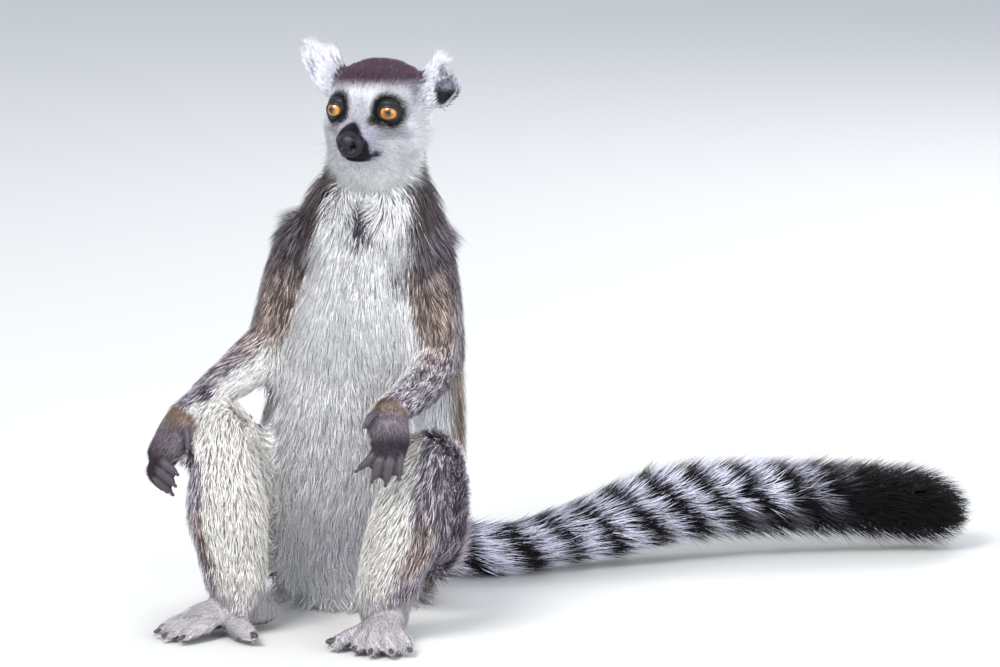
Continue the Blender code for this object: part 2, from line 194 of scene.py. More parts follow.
# %% Camera
CAMERA_AZIMUTH, CAMERA_ELEVATION = math.radians(12), math.radians(10)
CAMERA_DISTANCE = 3.5
LOOK_AT = body_point(99, 55, 188)

camera = bpy.data.cameras.new("camera")
camera.lens = 180
camera.sensor_width = 36
camera.clip_end = 100
viewer = add_object("camera", camera)
to_camera = Vector((
    math.sin(CAMERA_AZIMUTH) * math.cos(CAMERA_ELEVATION),
    -math.cos(CAMERA_AZIMUTH) * math.cos(CAMERA_ELEVATION),
    math.sin(CAMERA_ELEVATION),
))
viewer.location = Vector(LOOK_AT) + to_camera * CAMERA_DISTANCE
viewer.rotation_euler = to_camera.to_track_quat("Z", "Y").to_euler()
bpy.context.scene.camera = viewer
print("camera at", [round(v, 3) for v in viewer.location])

# %% Floor
FLOOR_SIZE = 12  # metres
FLOOR_GREY = (0.62, 0.62, 0.60, 1)

floor_material, shader = new_material("floor")
fill(shader, {"Base Color": FLOOR_GREY, "Roughness": 0.9})
shape = bmesh.new()
bmesh.ops.create_grid(shape, x_segments=1, y_segments=1, size=FLOOR_SIZE)
floor_mesh = bpy.data.meshes.new("floor")
shape.to_mesh(floor_mesh)
shape.free()
floor_mesh.materials.append(floor_material)
floor = add_object("floor", floor_mesh)

# %% Lamps
CHEST_HEIGHT = 0.2  # metres, where the lamps are aimed
SKY, SKY_STRENGTH = (0.82, 0.88, 1.0, 1), 0.9


def lamp(name, place, size, power, colour=(1, 1, 1)):
    """A square soft lamp that faces the lemur's chest."""
    light = bpy.data.lights.new(name, "AREA")
    light.size = size
    light.energy = power
    light.color = colour
    made = add_object(name, light)
    made.location = place
    aim = Vector(place) - Vector((0, 0, CHEST_HEIGHT))
    made.rotation_euler = aim.to_track_quat("Z", "Y").to_euler()


lamp("key_lamp", (-0.9, -2.0, 2.4), 1.3, 98, (1.0, 0.98, 0.95))
lamp("fill_lamp", (2.2, -1.8, 0.9), 1.8, 56, (0.95, 0.97, 1.0))
lamp("back_lamp", (0.8, 2.2, 1.8), 1.2, 34)
world = bpy.data.worlds.new("studio")
world.use_nodes = True
fill(world.node_tree.nodes["Background"], {"Color": SKY, "Strength": SKY_STRENGTH})
bpy.context.scene.world = world
bpy.context.scene.view_settings.view_transform = "Standard"
print("lamps and sky set")

# %% [markdown]
# ## One skin out of many solids
#
# The solids are parted by thin cuts. Each copy is first grown by a hair's
# breadth so that the cuts close, and a voxel remesh then wraps them all in one
# closed surface. The eyeballs are wrapped too, so that the sockets are filled
# and the lids can be drawn over them. A table of nodes, looked up by the
# nearest solid, remembers which part of the body each point belongs to.

# %% Join the solids
CLOSING = 0.35 * MM
EYES = ("eye_left", "eye_right")

solids = sorted(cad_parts)
flesh = [name for name in solids if name not in EYES]
node_of_face = []
joined = bmesh.new()
for number, name in enumerate(solids):
    solid = bmesh.new()
    solid.from_mesh(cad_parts[name].data)
    bmesh.ops.remove_doubles(solid, verts=solid.verts, dist=1e-6)
    for vertex in solid.verts:
        vertex.co += vertex.normal * CLOSING
    grown = bpy.data.meshes.new(name + "_grown")
    solid.to_mesh(grown)
    solid.free()
    joined.from_mesh(grown)
    node_of_face += [number] * (len(joined.faces) - len(node_of_face))
node_of_face = np.array(node_of_face)
solids_tree = BVHTree.FromBMesh(joined)
skin_mesh = bpy.data.meshes.new("skin")
joined.to_mesh(skin_mesh)
joined.free()
print("solids joined:", len(solids), "faces:", len(node_of_face))

# %% Remesh
VOXEL = 1.4 * MM


def modified(mesh, kind, settings, covered=()):
    """The mesh that a modifier makes of this one, whose covered points are a vertex group."""
    carrier = add_object("carrier", mesh)
    if len(covered):
        carrier.vertex_groups.new(name="covered").add(covered, 1.0, "REPLACE")
    modifier = carrier.modifiers.new(kind, kind)
    for name, value in settings.items():
        setattr(modifier, name, value)
    graph = bpy.context.evaluated_depsgraph_get()
    made = bpy.data.meshes.new_from_object(carrier.evaluated_get(graph))
    bpy.data.objects.remove(carrier)
    return made


def vertex_array(mesh, attribute="co"):
    values = np.empty(len(mesh.vertices) * 3, np.float32)
    mesh.vertices.foreach_get(attribute, values)
    return values.reshape(-1, 3).astype(np.float64)


def edge_array(mesh):
    values = np.empty(len(mesh.edges) * 2, np.int32)
    mesh.edges.foreach_get("vertices", values)
    return values.reshape(-1, 2)


skin_mesh = modified(skin_mesh, "REMESH", {"mode": "VOXEL", "voxel_size": VOXEL})
print("remeshed:", len(skin_mesh.vertices), "points")

# %% [markdown]
# ## Smoothing by regions
#
# The solids are faceted, so the surface is relaxed: each point moves towards
# the mean of its neighbours. Broad parts take many strong rounds, and thin
# fingers, toes and ears take weak ones, or they would shrink away.

# %% Relax the surface
SOFTENING = {"hand": 0.10, "foot": 0.14, "ear": 0.10, "forearm": 0.3, "head": 0.4, "": 0.5}
SOFTENING_ROUNDS = 36


def relaxed(values, rounds, strength=0.5):
    """Values on the points of the skin, smoothed along its edges."""
    first, second = edges.T
    count = np.bincount(edges.ravel(), minlength=len(values))[:, None]
    smooth = np.array(values, float).reshape(len(values), -1)
    strength = np.broadcast_to(np.asarray(strength, float), len(values))[:, None]
    for _ in range(rounds):
        total = np.stack([
            np.bincount(first, column[second], len(values))
            + np.bincount(second, column[first], len(values))
            for column in smooth.T], axis=1)
        smooth += strength * (total / count - smooth)
    return smooth.reshape(np.shape(values))


def nearest_nodes(points):
    """The number of the solid nearest to each point."""
    return np.array([
        node_of_face[solids_tree.find_nearest(Vector(point))[2]] for point in points])


def chosen(table):
    """A value for each point of the skin, from a table of starts of node names."""
    by_node = [next(value for start, value in table.items() if name.startswith(start))
               for name in solids]
    return np.array(by_node, float)[nodes]


points, edges = vertex_array(skin_mesh), edge_array(skin_mesh)
nodes = nearest_nodes(points)
points = relaxed(points, SOFTENING_ROUNDS, relaxed(chosen(SOFTENING), 12))
skin_mesh.vertices.foreach_set("co", points.ravel().astype(np.float32))
print("relaxed; nodes used:", len(set(nodes)))

# %% [markdown]
# ## Fine where it shows
#
# Most of the skin lies under long fur, where a coarse mesh will do. A Decimate
# modifier thins those parts and leaves the face, ears, hands and feet alone.
# The front of the face is then divided once more for the lids, nose and mouth.

# %% Thin out the covered parts
KEPT_SHARE = 0.26
FINE_PARTS = ("head", "ear", "eye", "hand", "foot")

under_long_fur = np.array([not name.startswith(FINE_PARTS) for name in solids])[nodes]
skin_mesh = modified(skin_mesh, "DECIMATE", {"ratio": KEPT_SHARE, "vertex_group": "covered"},
                     covered=np.flatnonzero(under_long_fur).tolist())
print("thinned:", len(skin_mesh.polygons), "faces")

# %% Divide the front of the face
# Two boxes in the head's frame. They are open in front, past the tip of the nose.
FACE_BOX = (-32, -4, -36), (32, 99, 18)
NOSE_BOX = (-13, 18, -33), (13, 99, -10)


def divide(shape, low, high):
    """Cuts in two the edges that lie in a box."""
    places = in_head(np.array([vertex.co for vertex in shape.verts]))
    inside = ((places > low) & (places < high)).all(axis=1)
    within = [edge for edge in shape.edges if all(inside[vertex.index] for vertex in edge.verts)]
    bmesh.ops.subdivide_edges(shape, edges=within, cuts=1, smooth=0.3)
    bmesh.ops.triangulate(shape, faces=shape.faces)
    shape.verts.index_update()


shape = bmesh.new()
shape.from_mesh(skin_mesh)
bmesh.ops.triangulate(shape, faces=shape.faces)
divide(shape, *FACE_BOX)
divide(shape, *NOSE_BOX)
bmesh.ops.recalc_face_normals(shape, faces=shape.faces)
shape.to_mesh(skin_mesh)
shape.free()
points, edges = vertex_array(skin_mesh), edge_array(skin_mesh)
nodes = nearest_nodes(points)
print("face divided:", len(skin_mesh.polygons), "triangles in the skin")

# %% [markdown]
# ## Lines through the body
#
# Fur lies from the nose back over the head, down the body and out along each
# limb. A line through each part gives that direction, and later also the rings
# of the tail. The lines are those of the joints, in the body's own frame.

# %% Lines of the limbs, trunk and tail
BACKBONE = [(25, -1, 328), (19, 8, 262), (17, 8, 210), (11, 11, 130), (1, 22, 40), (0, 24, 0)]
TAIL = [
    (0, 60, 30), (-4, 92, 22), (18, 116, 19), (52, 116, 18), (86, 124, 18.5), (120, 146, 23),
    (152, 170, 29.5), (188, 196, 38), (232, 222, 41), (280, 243, 40), (325, 260, 37),
    (356, 269, 34), (372, 273, 32),
]
LINES = {
    "neck": BACKBONE, "trunk": BACKBONE, "tail": TAIL,
    "upper_arm_right": [(-26, 8, 256), (-45, 0, 212), (-50, -1, 190)],
    "forearm_right": [(-50, -1, 190), (-60, -20, 175), (-76, -46, 162), (-93, -70, 148)],
    "hand_right": [(-93, -70, 148), (-99, -77, 136), (-110, -86, 116), (-104, -93, 102)],
    "upper_arm_left": [(51, 6, 257), (66, -5, 212), (69, -6, 189)],
    "forearm_left": [(69, -6, 189), (68, -26, 174), (62, -54, 164), (53, -82, 158)],
    "hand_left": [(53, -82, 158), (55, -97, 151), (58, -114, 138), (54, -122, 122)],
    "thigh_right": [(-44, 32, 46), (-60, -12, 88), (-69, -60, 131)],
    "shank_right": [(-69, -60, 131), (-66, -78, 113), (-61, -90, 88), (-57, -92, 60), (-53, -90, 36)],
    "foot_right": [(-53, -90, 30), (-60, -100, 14), (-96, -130, 6)],
    "thigh_left": [(44, 32, 46), (57, -12, 87), (72, -58, 121)],
    "shank_left": [(72, -58, 121), (70, -76, 106), (67, -88, 83), (57, -92, 57), (50, -91, 34)],
    "foot_left": [(49, -90, 30), (51, -105, 14), (61, -148, 6)],
}
EAR_LINES = {  # in the head's frame
    "ear_right": [(-33, -33, 12), (-62, -34, 41)],
    "ear_left": [(31, -33, 9), (43, -33, 22), (50, -33, 46)],
}


def smooth_line(line, steps=12):
    """A Catmull-Rom curve through the points of a line."""
    rows = np.array([line[0], *line, line[-1]], float)
    share = np.linspace(0, 1, steps, endpoint=False)[:, None]
    runs = [
        0.5 * (2 * b + (c - a) * share + (2 * a - 5 * b + 4 * c - d) * share**2
               + (3 * b - a - 3 * c + d) * share**3)
        for a, b, c, d in zip(rows, rows[1:], rows[2:], rows[3:])
    ]
    return np.concatenate([*runs, rows[-1:]])


def along(line, places):
    """For each place: length along the line, the line's direction and its nearest point."""
    line = smooth_line(line)
    starts, steps = line[:-1], np.diff(line, axis=0)
    lengths = np.linalg.norm(steps, axis=1)
    before = np.concatenate([[0], np.cumsum(lengths)[:-1]])
    best = np.full(len(places), np.inf)
    travelled = np.zeros(len(places))
    heading = np.zeros((len(places), 3))
    nearest = np.zeros((len(places), 3))
    for start, step, length, far in zip(starts, steps, lengths, before):
        share = np.clip((places - start) @ step / length**2, 0, 1)
        point = start + share[:, None] * step
        distance = np.linalg.norm(places - point, axis=1)
        closer = distance < best
        best[closer] = distance[closer]
        travelled[closer] = far + share[closer] * length
        heading[closer] = step / length
        nearest[closer] = point[closer]
    return travelled, heading, nearest


print("tail line:", round(float(along(TAIL, np.array([TAIL[-1]]))[0][0])), "mm")

# %% Masks
# Most shapes and colours below are masks: shares between 0 and 1 for each point.
# A mask comes in over a range of some measure, which is in millimetres unless it
# is an angle or a part of a direction.
def unit(vectors):
    return vectors / np.maximum(np.linalg.norm(vectors, axis=1), 1e-9)[:, None]


def step_up(values, low, high):
    """0 below low, 1 above high, and smooth between."""
    share = np.clip((values - low) / (high - low), 0, 1)
    return share * share * (3 - 2 * share)


def ellipse_mask(across, high, half_width, half_height, soft=0.18):
    """1 inside an ellipse and 0 outside it, with a border this soft."""
    return 1 - step_up(np.hypot(across / half_width, high / half_height), 1 - soft, 1 + soft)


def groove(distance, width, deep):
    """How deep a groove is at a distance from its line."""
    return deep * np.exp(-(distance / width)**2)


def part_of_body(*starts):
    """True for the points that belong to the nodes with these starts of names."""
    return np.array([name.startswith(starts) for name in solids])[nodes]


on_head, on_ear = part_of_body("head", "eye"), part_of_body("ear")
print("points on the head:", int(on_head.sum()), "and on the ears:", int(on_ear.sum()))

# %% [markdown]
# ## How deep the coat is and how it lies
#
# The depth of the coat is what the skin sinks in from the solids. It is next
# to nothing on the muzzle and digits and over a centimetre on the body. The
# lie is the part's direction laid flat on the surface. Both are relaxed over
# the mesh, so that fur turns gently from one part to the next.

# %% Coat depth
COAT_DEPTH = {
    "head": 4.2, "neck": 8, "trunk": 11, "ear": 1.3, "eye": 0, "upper_arm": 6, "forearm": 3.6,
    "hand": 1.0, "thigh": 9, "shank": 6.5, "foot": 1.2, "tail": 6,
}
LID_DEPTH, BROW_DEPTH, CROWN_DEPTH, NAPE_DEPTH = 0.5, 1.7, 2.0, 3
CHEEK_DEPTH, JAW_DEPTH = 4.5, 4.5
MUZZLE_THINNING, ANKLE_THINNING = 0.7, 0.7
EYE_RADIUS = (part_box("eye_left")[1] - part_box("eye_left")[0])[2] / 2 / MM
EYE_SPACING = np.linalg.norm(middle("eye_left") - middle("eye_right")) / 2 / MM  # half of it

head_places, body_places = in_head(points), in_body(points)
height = body_places[:, 2]
normals = unit(relaxed(vertex_array(skin_mesh, "normal"), 3))
left, ahead, up = head_places.T
cheek = step_up(np.abs(left), 17, 27) * step_up(-up, 4, 18) * step_up(-ahead, -8, 4)
muzzle = step_up(ahead, 4, 14) * step_up(-up, 2, 8)
from_eye = np.sqrt((np.abs(left) - EYE_SPACING)**2 + ahead**2 + up**2)
bare_eye = 1 - step_up(from_eye, 9, 13)
head_depth = BROW_DEPTH + CROWN_DEPTH * step_up(-ahead, 2, 22) + CHEEK_DEPTH * cheek
head_depth = head_depth + NAPE_DEPTH * step_up(-ahead, 20, 40)
head_depth = head_depth * (1 - MUZZLE_THINNING * muzzle) * (1 - bare_eye) + LID_DEPTH * bare_eye
under_jaw = step_up(-up, 32, 42) * (1 - step_up(-up, 58, 76)) * step_up(ahead, -22, -6)
near_ankle = part_of_body("shank") * (1 - step_up(height, 34, 60))
depth = np.where(on_head, head_depth, chosen(COAT_DEPTH))
depth = depth + JAW_DEPTH * under_jaw * (0.5 + 0.5 * step_up(np.abs(left), 8, 22))
depth = depth * (1 - ANKLE_THINNING * near_ankle)
depth = relaxed(depth, 30)
print("coat depth:", round(depth.min(), 2), "to", round(depth.max(), 2), "mm")

# %% Lie of the coat
lie = np.zeros_like(points)
for start, line in LINES.items():
    here = part_of_body(start)
    lie[here] = along(line, body_places[here])[1]
lie[on_head] = unit(points - head_point(0, 24, -14))[on_head]  # away from the nose
for name, line in EAR_LINES.items():
    here = part_of_body(name)
    lie[here] = along(line, head_places[here])[1] @ head_axes
lie = relaxed(lie, 30)

# %% Whirl of the chest, and tousled fur
# Chest hair runs in from the shoulders to a scent gland below the throat. Everywhere
# a smooth random drift makes the tufts wander a little from their line.
GLAND = (20, -48, 283)
WHIRL_SHARE, DRIFT_SHARE, DRIFT_SEED = 0.8, 0.14, 77

to_gland = np.array(GLAND) - body_places
far_from_gland = np.linalg.norm(to_gland, axis=1)
whirl = part_of_body("trunk", "neck") * step_up(-normals[:, 1], -0.1, 0.4)
whirl = whirl * step_up(to_gland[:, 2], -75, -15) * (1 - step_up(far_from_gland, 55, 90))
whirl *= step_up(-to_gland[:, 2], -12, 8)
lie = lie + (unit(to_gland) - lie) * (WHIRL_SHARE * whirl)[:, None]
drift = relaxed(np.random.default_rng(DRIFT_SEED).normal(0, 1, lie.shape), 40)
lie = lie + drift / drift.std() * DRIFT_SHARE
print("lie of the coat set; points in the whirl:", int((whirl > 0.5).sum()))

# %% [markdown]
# ## Sinking the skin
#
# The skin goes inwards by the coat's depth. The tail is different, because it
# is a thin rod in a thick brush: its skin shrinks towards its own line. A
# weight that fades at its root joins the two.

# %% Sink the skin
TAIL_CORE = (9.0, 5.5)  # radius of the tail under its hair, at the root and the tip
TAIL_CORE_LENGTH = 445

tail_weight = relaxed(part_of_body("tail"), 8)
tail_length, _, tail_axis = along(TAIL, body_places)
share = np.clip(tail_length / TAIL_CORE_LENGTH, 0, 1)
core = TAIL_CORE[0] + (TAIL_CORE[1] - TAIL_CORE[0]) * share
core_points = rump + (tail_axis + unit(body_places - tail_axis) * core[:, None]) * MM
sunk = points - normals * depth[:, None] * MM
skin_points = sunk + (core_points - sunk) * tail_weight[:, None]
print("tail skin:", int((tail_weight > 0.5).sum()), "points")

# %% [markdown]
# ## Drawing the lids over the eyes
#
# The skin runs over each eyeball. Seen from the eye's centre, every point of
# it has an angle from the gaze and a turn around it, so the opening is an
# almond in those two angles. Points inside it sink behind the eyeball, points
# outside rise to the thickness of a lid, and points close to its edge are
# moved onto it, which draws a clean rim on a mesh of triangles.

# %% Opening of the lids
GAZE_TURN = math.radians(18)  # each eye looks this far outwards
INNER_CORNER_DROP = math.radians(7)
OPENING_OUTWARD, OPENING_INWARD = math.radians(50), math.radians(58)
OPENING_UP, OPENING_DOWN = math.radians(29), math.radians(34)


def eye_axes(sign):
    """Outward, gaze and upward directions of one eye, in the head's frame."""
    gaze = np.array((sign * math.sin(GAZE_TURN), math.cos(GAZE_TURN), 0.0))
    outward = np.array((sign * math.cos(GAZE_TURN), -math.sin(GAZE_TURN), 0.0))
    return np.array((outward, gaze, (0.0, 0.0, 1.0)))


def from_eye_centre(angle, turn):
    """Directions this far from the gaze and turned this far round it, in the eye's axes."""
    return np.stack([np.sin(angle) * np.cos(turn), np.cos(angle), np.sin(angle) * np.sin(turn)], axis=-1)


def opening(turn):
    """How far from the gaze the rim of the lids is, at each turn around it."""
    turn = turn + INNER_CORNER_DROP
    across = np.where(np.cos(turn) > 0, OPENING_OUTWARD, OPENING_INWARD)
    high = np.where(np.sin(turn) > 0, OPENING_UP, OPENING_DOWN)
    return 1 / np.sqrt((np.cos(turn) / across)**2 + (np.sin(turn) / high)**2)


# %% Lids
LID_HEIGHT = 0.6  # of the lid's surface over the eyeball
LID_SWELL = 0.35  # what the lid gains in height away from its rim
LID_EDGE = math.radians(2.6)  # points this near to the rim are moved onto it
RIM_HEIGHT = LID_HEIGHT * 0.7
CREASE_GAP, CREASE_WIDTH, CREASE_DEPTH = math.radians(21), math.radians(6), 0.7
LID_REACH = 9  # how far off the eyeball the skin is still shaped
FADE_BY_REACH = EYE_RADIUS + 2, EYE_RADIUS + 8.5  # where the skin's own height comes back,
FADE_BY_ANGLE = math.radians(48), math.radians(78)  # whichever is the sooner
BEHIND_CORNEA = 1.6  # how far the skin in the opening sinks into the eyeball


def with_lids(places, sign):
    """Places of the head's points once the lids of one eye are drawn."""
    axes = eye_axes(sign)
    offset = (places - (sign * EYE_SPACING, 0, 0)) @ axes.T
    reach = np.linalg.norm(offset, axis=1)
    near = (reach < EYE_RADIUS + LID_REACH) & (offset[:, 1] > -1)
    aside, gaze, high = offset[near].T
    reach = reach[near]
    angle = np.arccos(np.clip(gaze / reach, -1, 1))
    turn = np.arctan2(high, aside)
    rim = opening(turn)
    lid = EYE_RADIUS + LID_HEIGHT + LID_SWELL * step_up(angle - rim, 0.1, 0.5)
    crease = groove(angle - rim - CREASE_GAP, CREASE_WIDTH, 1) * step_up(np.abs(high), 2, 5)
    kept = np.maximum(step_up(angle, *FADE_BY_ANGLE), step_up(reach, *FADE_BY_REACH))
    height = lid + (np.maximum(reach, lid) - lid) * kept - crease * CREASE_DEPTH
    inside = angle < rim - LID_EDGE
    on_rim = np.abs(angle - rim) <= LID_EDGE
    angle = np.where(on_rim, rim, angle)
    height = np.where(inside, EYE_RADIUS - BEHIND_CORNEA, height)
    height = np.where(on_rim, EYE_RADIUS + RIM_HEIGHT, height)
    places = places.copy()
    places[near] = (from_eye_centre(angle, turn) * height[:, None]) @ axes + (sign * EYE_SPACING, 0, 0)
    return places


face = in_head(skin_points)
for sign in (-1, 1):
    face = np.where(on_head[:, None], with_lids(face, sign), face)
print("eye radius", round(EYE_RADIUS, 2), "half spacing", round(EYE_SPACING, 2))

# %% [markdown]
# ## Nose, mouth and ear hollows
#
# The nose leather, the comma of each nostril and the line of the mouth are
# shallow shapes in the same skin. Each one is a smooth bump or groove, given
# by how far a point is from a curve drawn on the face. The ear's cup is pressed
# in from the front in the same way.

# %% Nose and mouth
NOSE_HEIGHT = -20.5  # of the middle of the nose leather, in the head's frame
PAD_HALF_WIDTH, PAD_HALF_HEIGHT, PAD_RISE = 8.6, 7.6, 0.7
WING_OUT, WING_UP, WING_RADIUS, WING_DEPTH = 3.1, -21.0, 3.0, 1.9  # the curl round a nostril
NOSTRIL_OUT, NOSTRIL_UP, NOSTRIL_DEPTH = 4.6, -21.8, 3.6
LIP_HEIGHT, LIP_DEPTH, LIP_RISE = -30.4, 1.5, 0.5


def mouth_height(ahead):
    """The mouth line: level below the nose, and a little up to its corner."""
    return LIP_HEIGHT + 1.6 * (1 - step_up(ahead, 1, 9)) + 0.5 * step_up(ahead, 22, 30)


left, ahead, up = face.T
beside = np.abs(left)
over_mouth = up - mouth_height(ahead)
face_normals = unit(normals @ head_axes.T)
around = np.hypot(left / PAD_HALF_WIDTH, (up - NOSE_HEIGHT) / PAD_HALF_HEIGHT)
carving = -PAD_RISE * (1 - step_up(around, 0.75, 1.0)) * step_up(ahead, 23, 27)
curl = np.arctan2(up - WING_UP, beside - WING_OUT)
from_wing = np.abs(np.hypot(beside - WING_OUT, (up - WING_UP) * 0.8) - WING_RADIUS)
on_wing = step_up(curl, -2.6, -2.0) * (1 - step_up(curl, 0.9, 1.3))
carving += groove(from_wing, 0.8, WING_DEPTH) * on_wing * step_up(ahead, 20, 25)
from_nostril = np.hypot(beside - NOSTRIL_OUT, up - NOSTRIL_UP)
in_nostril = groove(from_nostril, 1.8, 1.0) * step_up(ahead, 20, 25) * on_head
carving += NOSTRIL_DEPTH * in_nostril
under_nose = step_up(ahead, 22, 26) * step_up(-up, 21, 24) * step_up(up, -31, -30)
carving += groove(left, 0.55, 1.0) * under_nose
lip_line = groove(over_mouth, 0.65, LIP_DEPTH) * step_up(ahead, 4, 8) * step_up(-up, 25, 27)
carving += lip_line * np.where(beside > 4, 1, step_up(ahead, 10, 14))
carving -= groove(over_mouth - 2.2, 1.3, LIP_RISE) * step_up(ahead, 2, 8)
face = face - face_normals * (carving * on_head)[:, None]
print("nose and mouth carved, to", round((carving * on_head).max(), 1), "mm")

# %% Ear hollows
EAR_CUPS = {  # centre, way the opening faces, half width, half height and depth
    "ear_left": ((46.0, -34, 10), (0.45, 0.88, -0.1), 13.0, 15.5, 5.5),
    "ear_right": ((-46, -35, 19), (-0.3, 0.95, 0.05), 5.0, 8.0, 2.5),
}
in_cup = np.zeros(len(face))


def cup_radius(places, name):
    """How far from the middle of an ear's cup each place is, where 1 is its rim."""
    centre, facing, half_width, half_height, _ = EAR_CUPS[name]
    across = np.cross(facing, (0, 0, 1))
    offset = places - centre
    return np.hypot(offset @ across / half_width, offset @ np.cross(across, facing) / half_height)


for name, (_, facing, _, _, cup_depth) in EAR_CUPS.items():
    facing = np.array(facing)
    share = part_of_body(name) * (1 - step_up(cup_radius(face, name), 0.35, 1.0))
    share = share * step_up(face_normals @ facing, 0.1, 0.5)
    face = face - facing * (share * cup_depth)[:, None]
    in_cup = np.maximum(in_cup, share)
in_cup = relaxed(in_cup, 1)
print("ear hollows:", int((in_cup > 0.5).sum()), "points")

# %% [markdown]
# ## Fingers and toes
#
# A lemur has long padded fingers, each with a flat nail, and a great toe that
# stands apart. The wrapped skin webs them together, so each point of a digit
# is drawn in to the line of the nearest one, which opens grooves between them.

# %% Lines of the digits
FINGERS = {
    "hand_right": [
        [(-95, -79, 143), (-88, -88, 136), (-87, -93, 126)],
        [(-109, -88, 119), (-101, -96, 116), (-95, -96, 111)],
        [(-113, -86, 114), (-104, -96, 110), (-97, -95, 103)],
        [(-116, -80, 109), (-108, -92, 104), (-100, -91, 96)],
        [(-115, -75, 105), (-112, -84, 101), (-106, -84, 96)],
    ],
    "hand_left": [
        [(50, -92, 157), (44, -102, 157), (41, -108, 151)],
        [(54, -113, 139), (48, -120, 132), (40, -121, 124)],
        [(58, -114, 138), (54, -123, 129), (50, -122, 118)],
        [(62, -112, 138), (61, -123, 128), (59, -122, 116)],
        [(66, -107, 138), (67, -118, 130), (67, -118, 120)],
    ],
}
FINGER_THICKNESS = (4.4, 3.3, 2.7)  # radius at the root, the middle and the tip
FEET = {  # ankle, then the bearings of the foot and of the great toe, in degrees
    "foot_right": ((-52, -88, 18), -48, 38), "foot_left": ((49, -90, 18), 12, -38),
}
TOE_FAN, TOE_LENGTHS = (-20, -7, 6, 19), (19, 25, 26, 22)
TOE_THICKNESS, GREAT_TOE_THICKNESS = (6.4, 5.2, 3.9), (8.0, 7.2, 5.2)
TOE_ROOTS, GREAT_TOE_LENGTH, GREAT_TOE_ROOT = 32.3, 42, 10  # roots are so far from the ankle
TOE_HEIGHTS, GREAT_TOE_HEIGHTS = (9, 8, 4.5), (10, 8, 5.5)


def toe_line(ankle, degrees, root, toward, length, heights):
    """A toe whose root is out along one bearing, and which points along another."""
    out, way = (np.array((math.sin(turn), -math.cos(turn), 0.0))
                for turn in (math.radians(degrees), math.radians(toward)))
    line = [np.array(ankle) + out * root + way * length * share for share in (0, 0.6, 1.0)]
    return [(point[0], point[1], height) for point, height in zip(line, heights)]


digits = {name: [(line, FINGER_THICKNESS) for line in lines] for name, lines in FINGERS.items()}
for name, (ankle, heading, great_heading) in FEET.items():
    digits[name] = [
        (toe_line(ankle, heading + fan, TOE_ROOTS, heading + fan, length, TOE_HEIGHTS), TOE_THICKNESS)
        for fan, length in zip(TOE_FAN, TOE_LENGTHS)]
    great = toe_line(ankle, heading, GREAT_TOE_ROOT, great_heading, GREAT_TOE_LENGTH, GREAT_TOE_HEIGHTS)
    digits[name].append((great, GREAT_TOE_THICKNESS))
print("digits:", {name: len(lines) for name, lines in digits.items()})

# %% Part the digits
body_skin = in_body(between_eyes + face @ head_axes * MM)
digit_share = np.zeros(len(points))  # how far out along a digit each point is
between_digits = np.zeros(len(points))
for name, lines in digits.items():
    here = np.flatnonzero(part_of_body(name))
    gaps, shares, drawn_in = [], [], []
    for line, radii in lines:
        travelled, _, nearest = along(line, body_skin[here])
        share = travelled / np.linalg.norm(np.diff(line, axis=0), axis=1).sum()
        gap = np.linalg.norm(body_skin[here] - nearest, axis=1)
        radius = np.interp(share, (0, 0.5, 1), radii)
        outside = unit(body_skin[here] - nearest)
        gaps.append(gap - radius)
        shares.append(share)
        drawn_in.append(nearest + outside * np.minimum(gap, radius)[:, None])
    closest, rows = np.argmin(gaps, axis=0), np.arange(len(here))
    digit_share[here] = np.array(shares)[closest, rows]
    parted = step_up(digit_share[here], 0.0, 0.45)
    body_skin[here] += (np.array(drawn_in)[closest, rows] - body_skin[here]) * parted[:, None]
    nearest_gap, next_gap = np.sort(gaps, axis=0)[:2]
    between_digits[here] = parted * (1 - step_up(next_gap - nearest_gap, 0.3, 2.2))
face = in_head(rump + body_skin * MM)
print("points on digits:", int((digit_share > 0.2).sum()))

# %% Ends of the ears
# Over the last stretch of an ear there is only a tuft of hair, so the skin ends early.
EAR_ENDS = {  # a point and a direction along the ear, where its skin ends past them
    "ear_left": ((44, -33, 22), (0, 0, 1)), "ear_right": ((-50, -33.5, 29), (-0.7, 0, 0.7)),
}
PAST_EAR = 0.3  # the share that is kept of what reaches past

for name, (end, direction) in EAR_ENDS.items():
    past = np.maximum((face - end) @ np.array(direction), 0) * part_of_body(name)
    face = face - np.array(direction) * (past * (1 - PAST_EAR))[:, None]
skin_points = between_eyes + face @ head_axes * MM
print("skin shaped:", len(skin_points), "points")

# %% [markdown]
# ## Markings
#
# A ring-tailed lemur is white below and in the face, grey-brown above, with a
# dark cap, black eye patches, a black muzzle and a tail of black and white
# rings. Each marking is a mask between 0 and 1 from a place on the body, and
# the colours are laid over each other by those masks. The skin and the coat
# both call this one function, so the fur always matches the skin under it.

# %% Colours
def tone(red, green, blue):
    """A colour of the usual 0 to 255 kind, as the linear light that shaders use."""
    return (np.array((red, green, blue)) / 255) ** 2.2


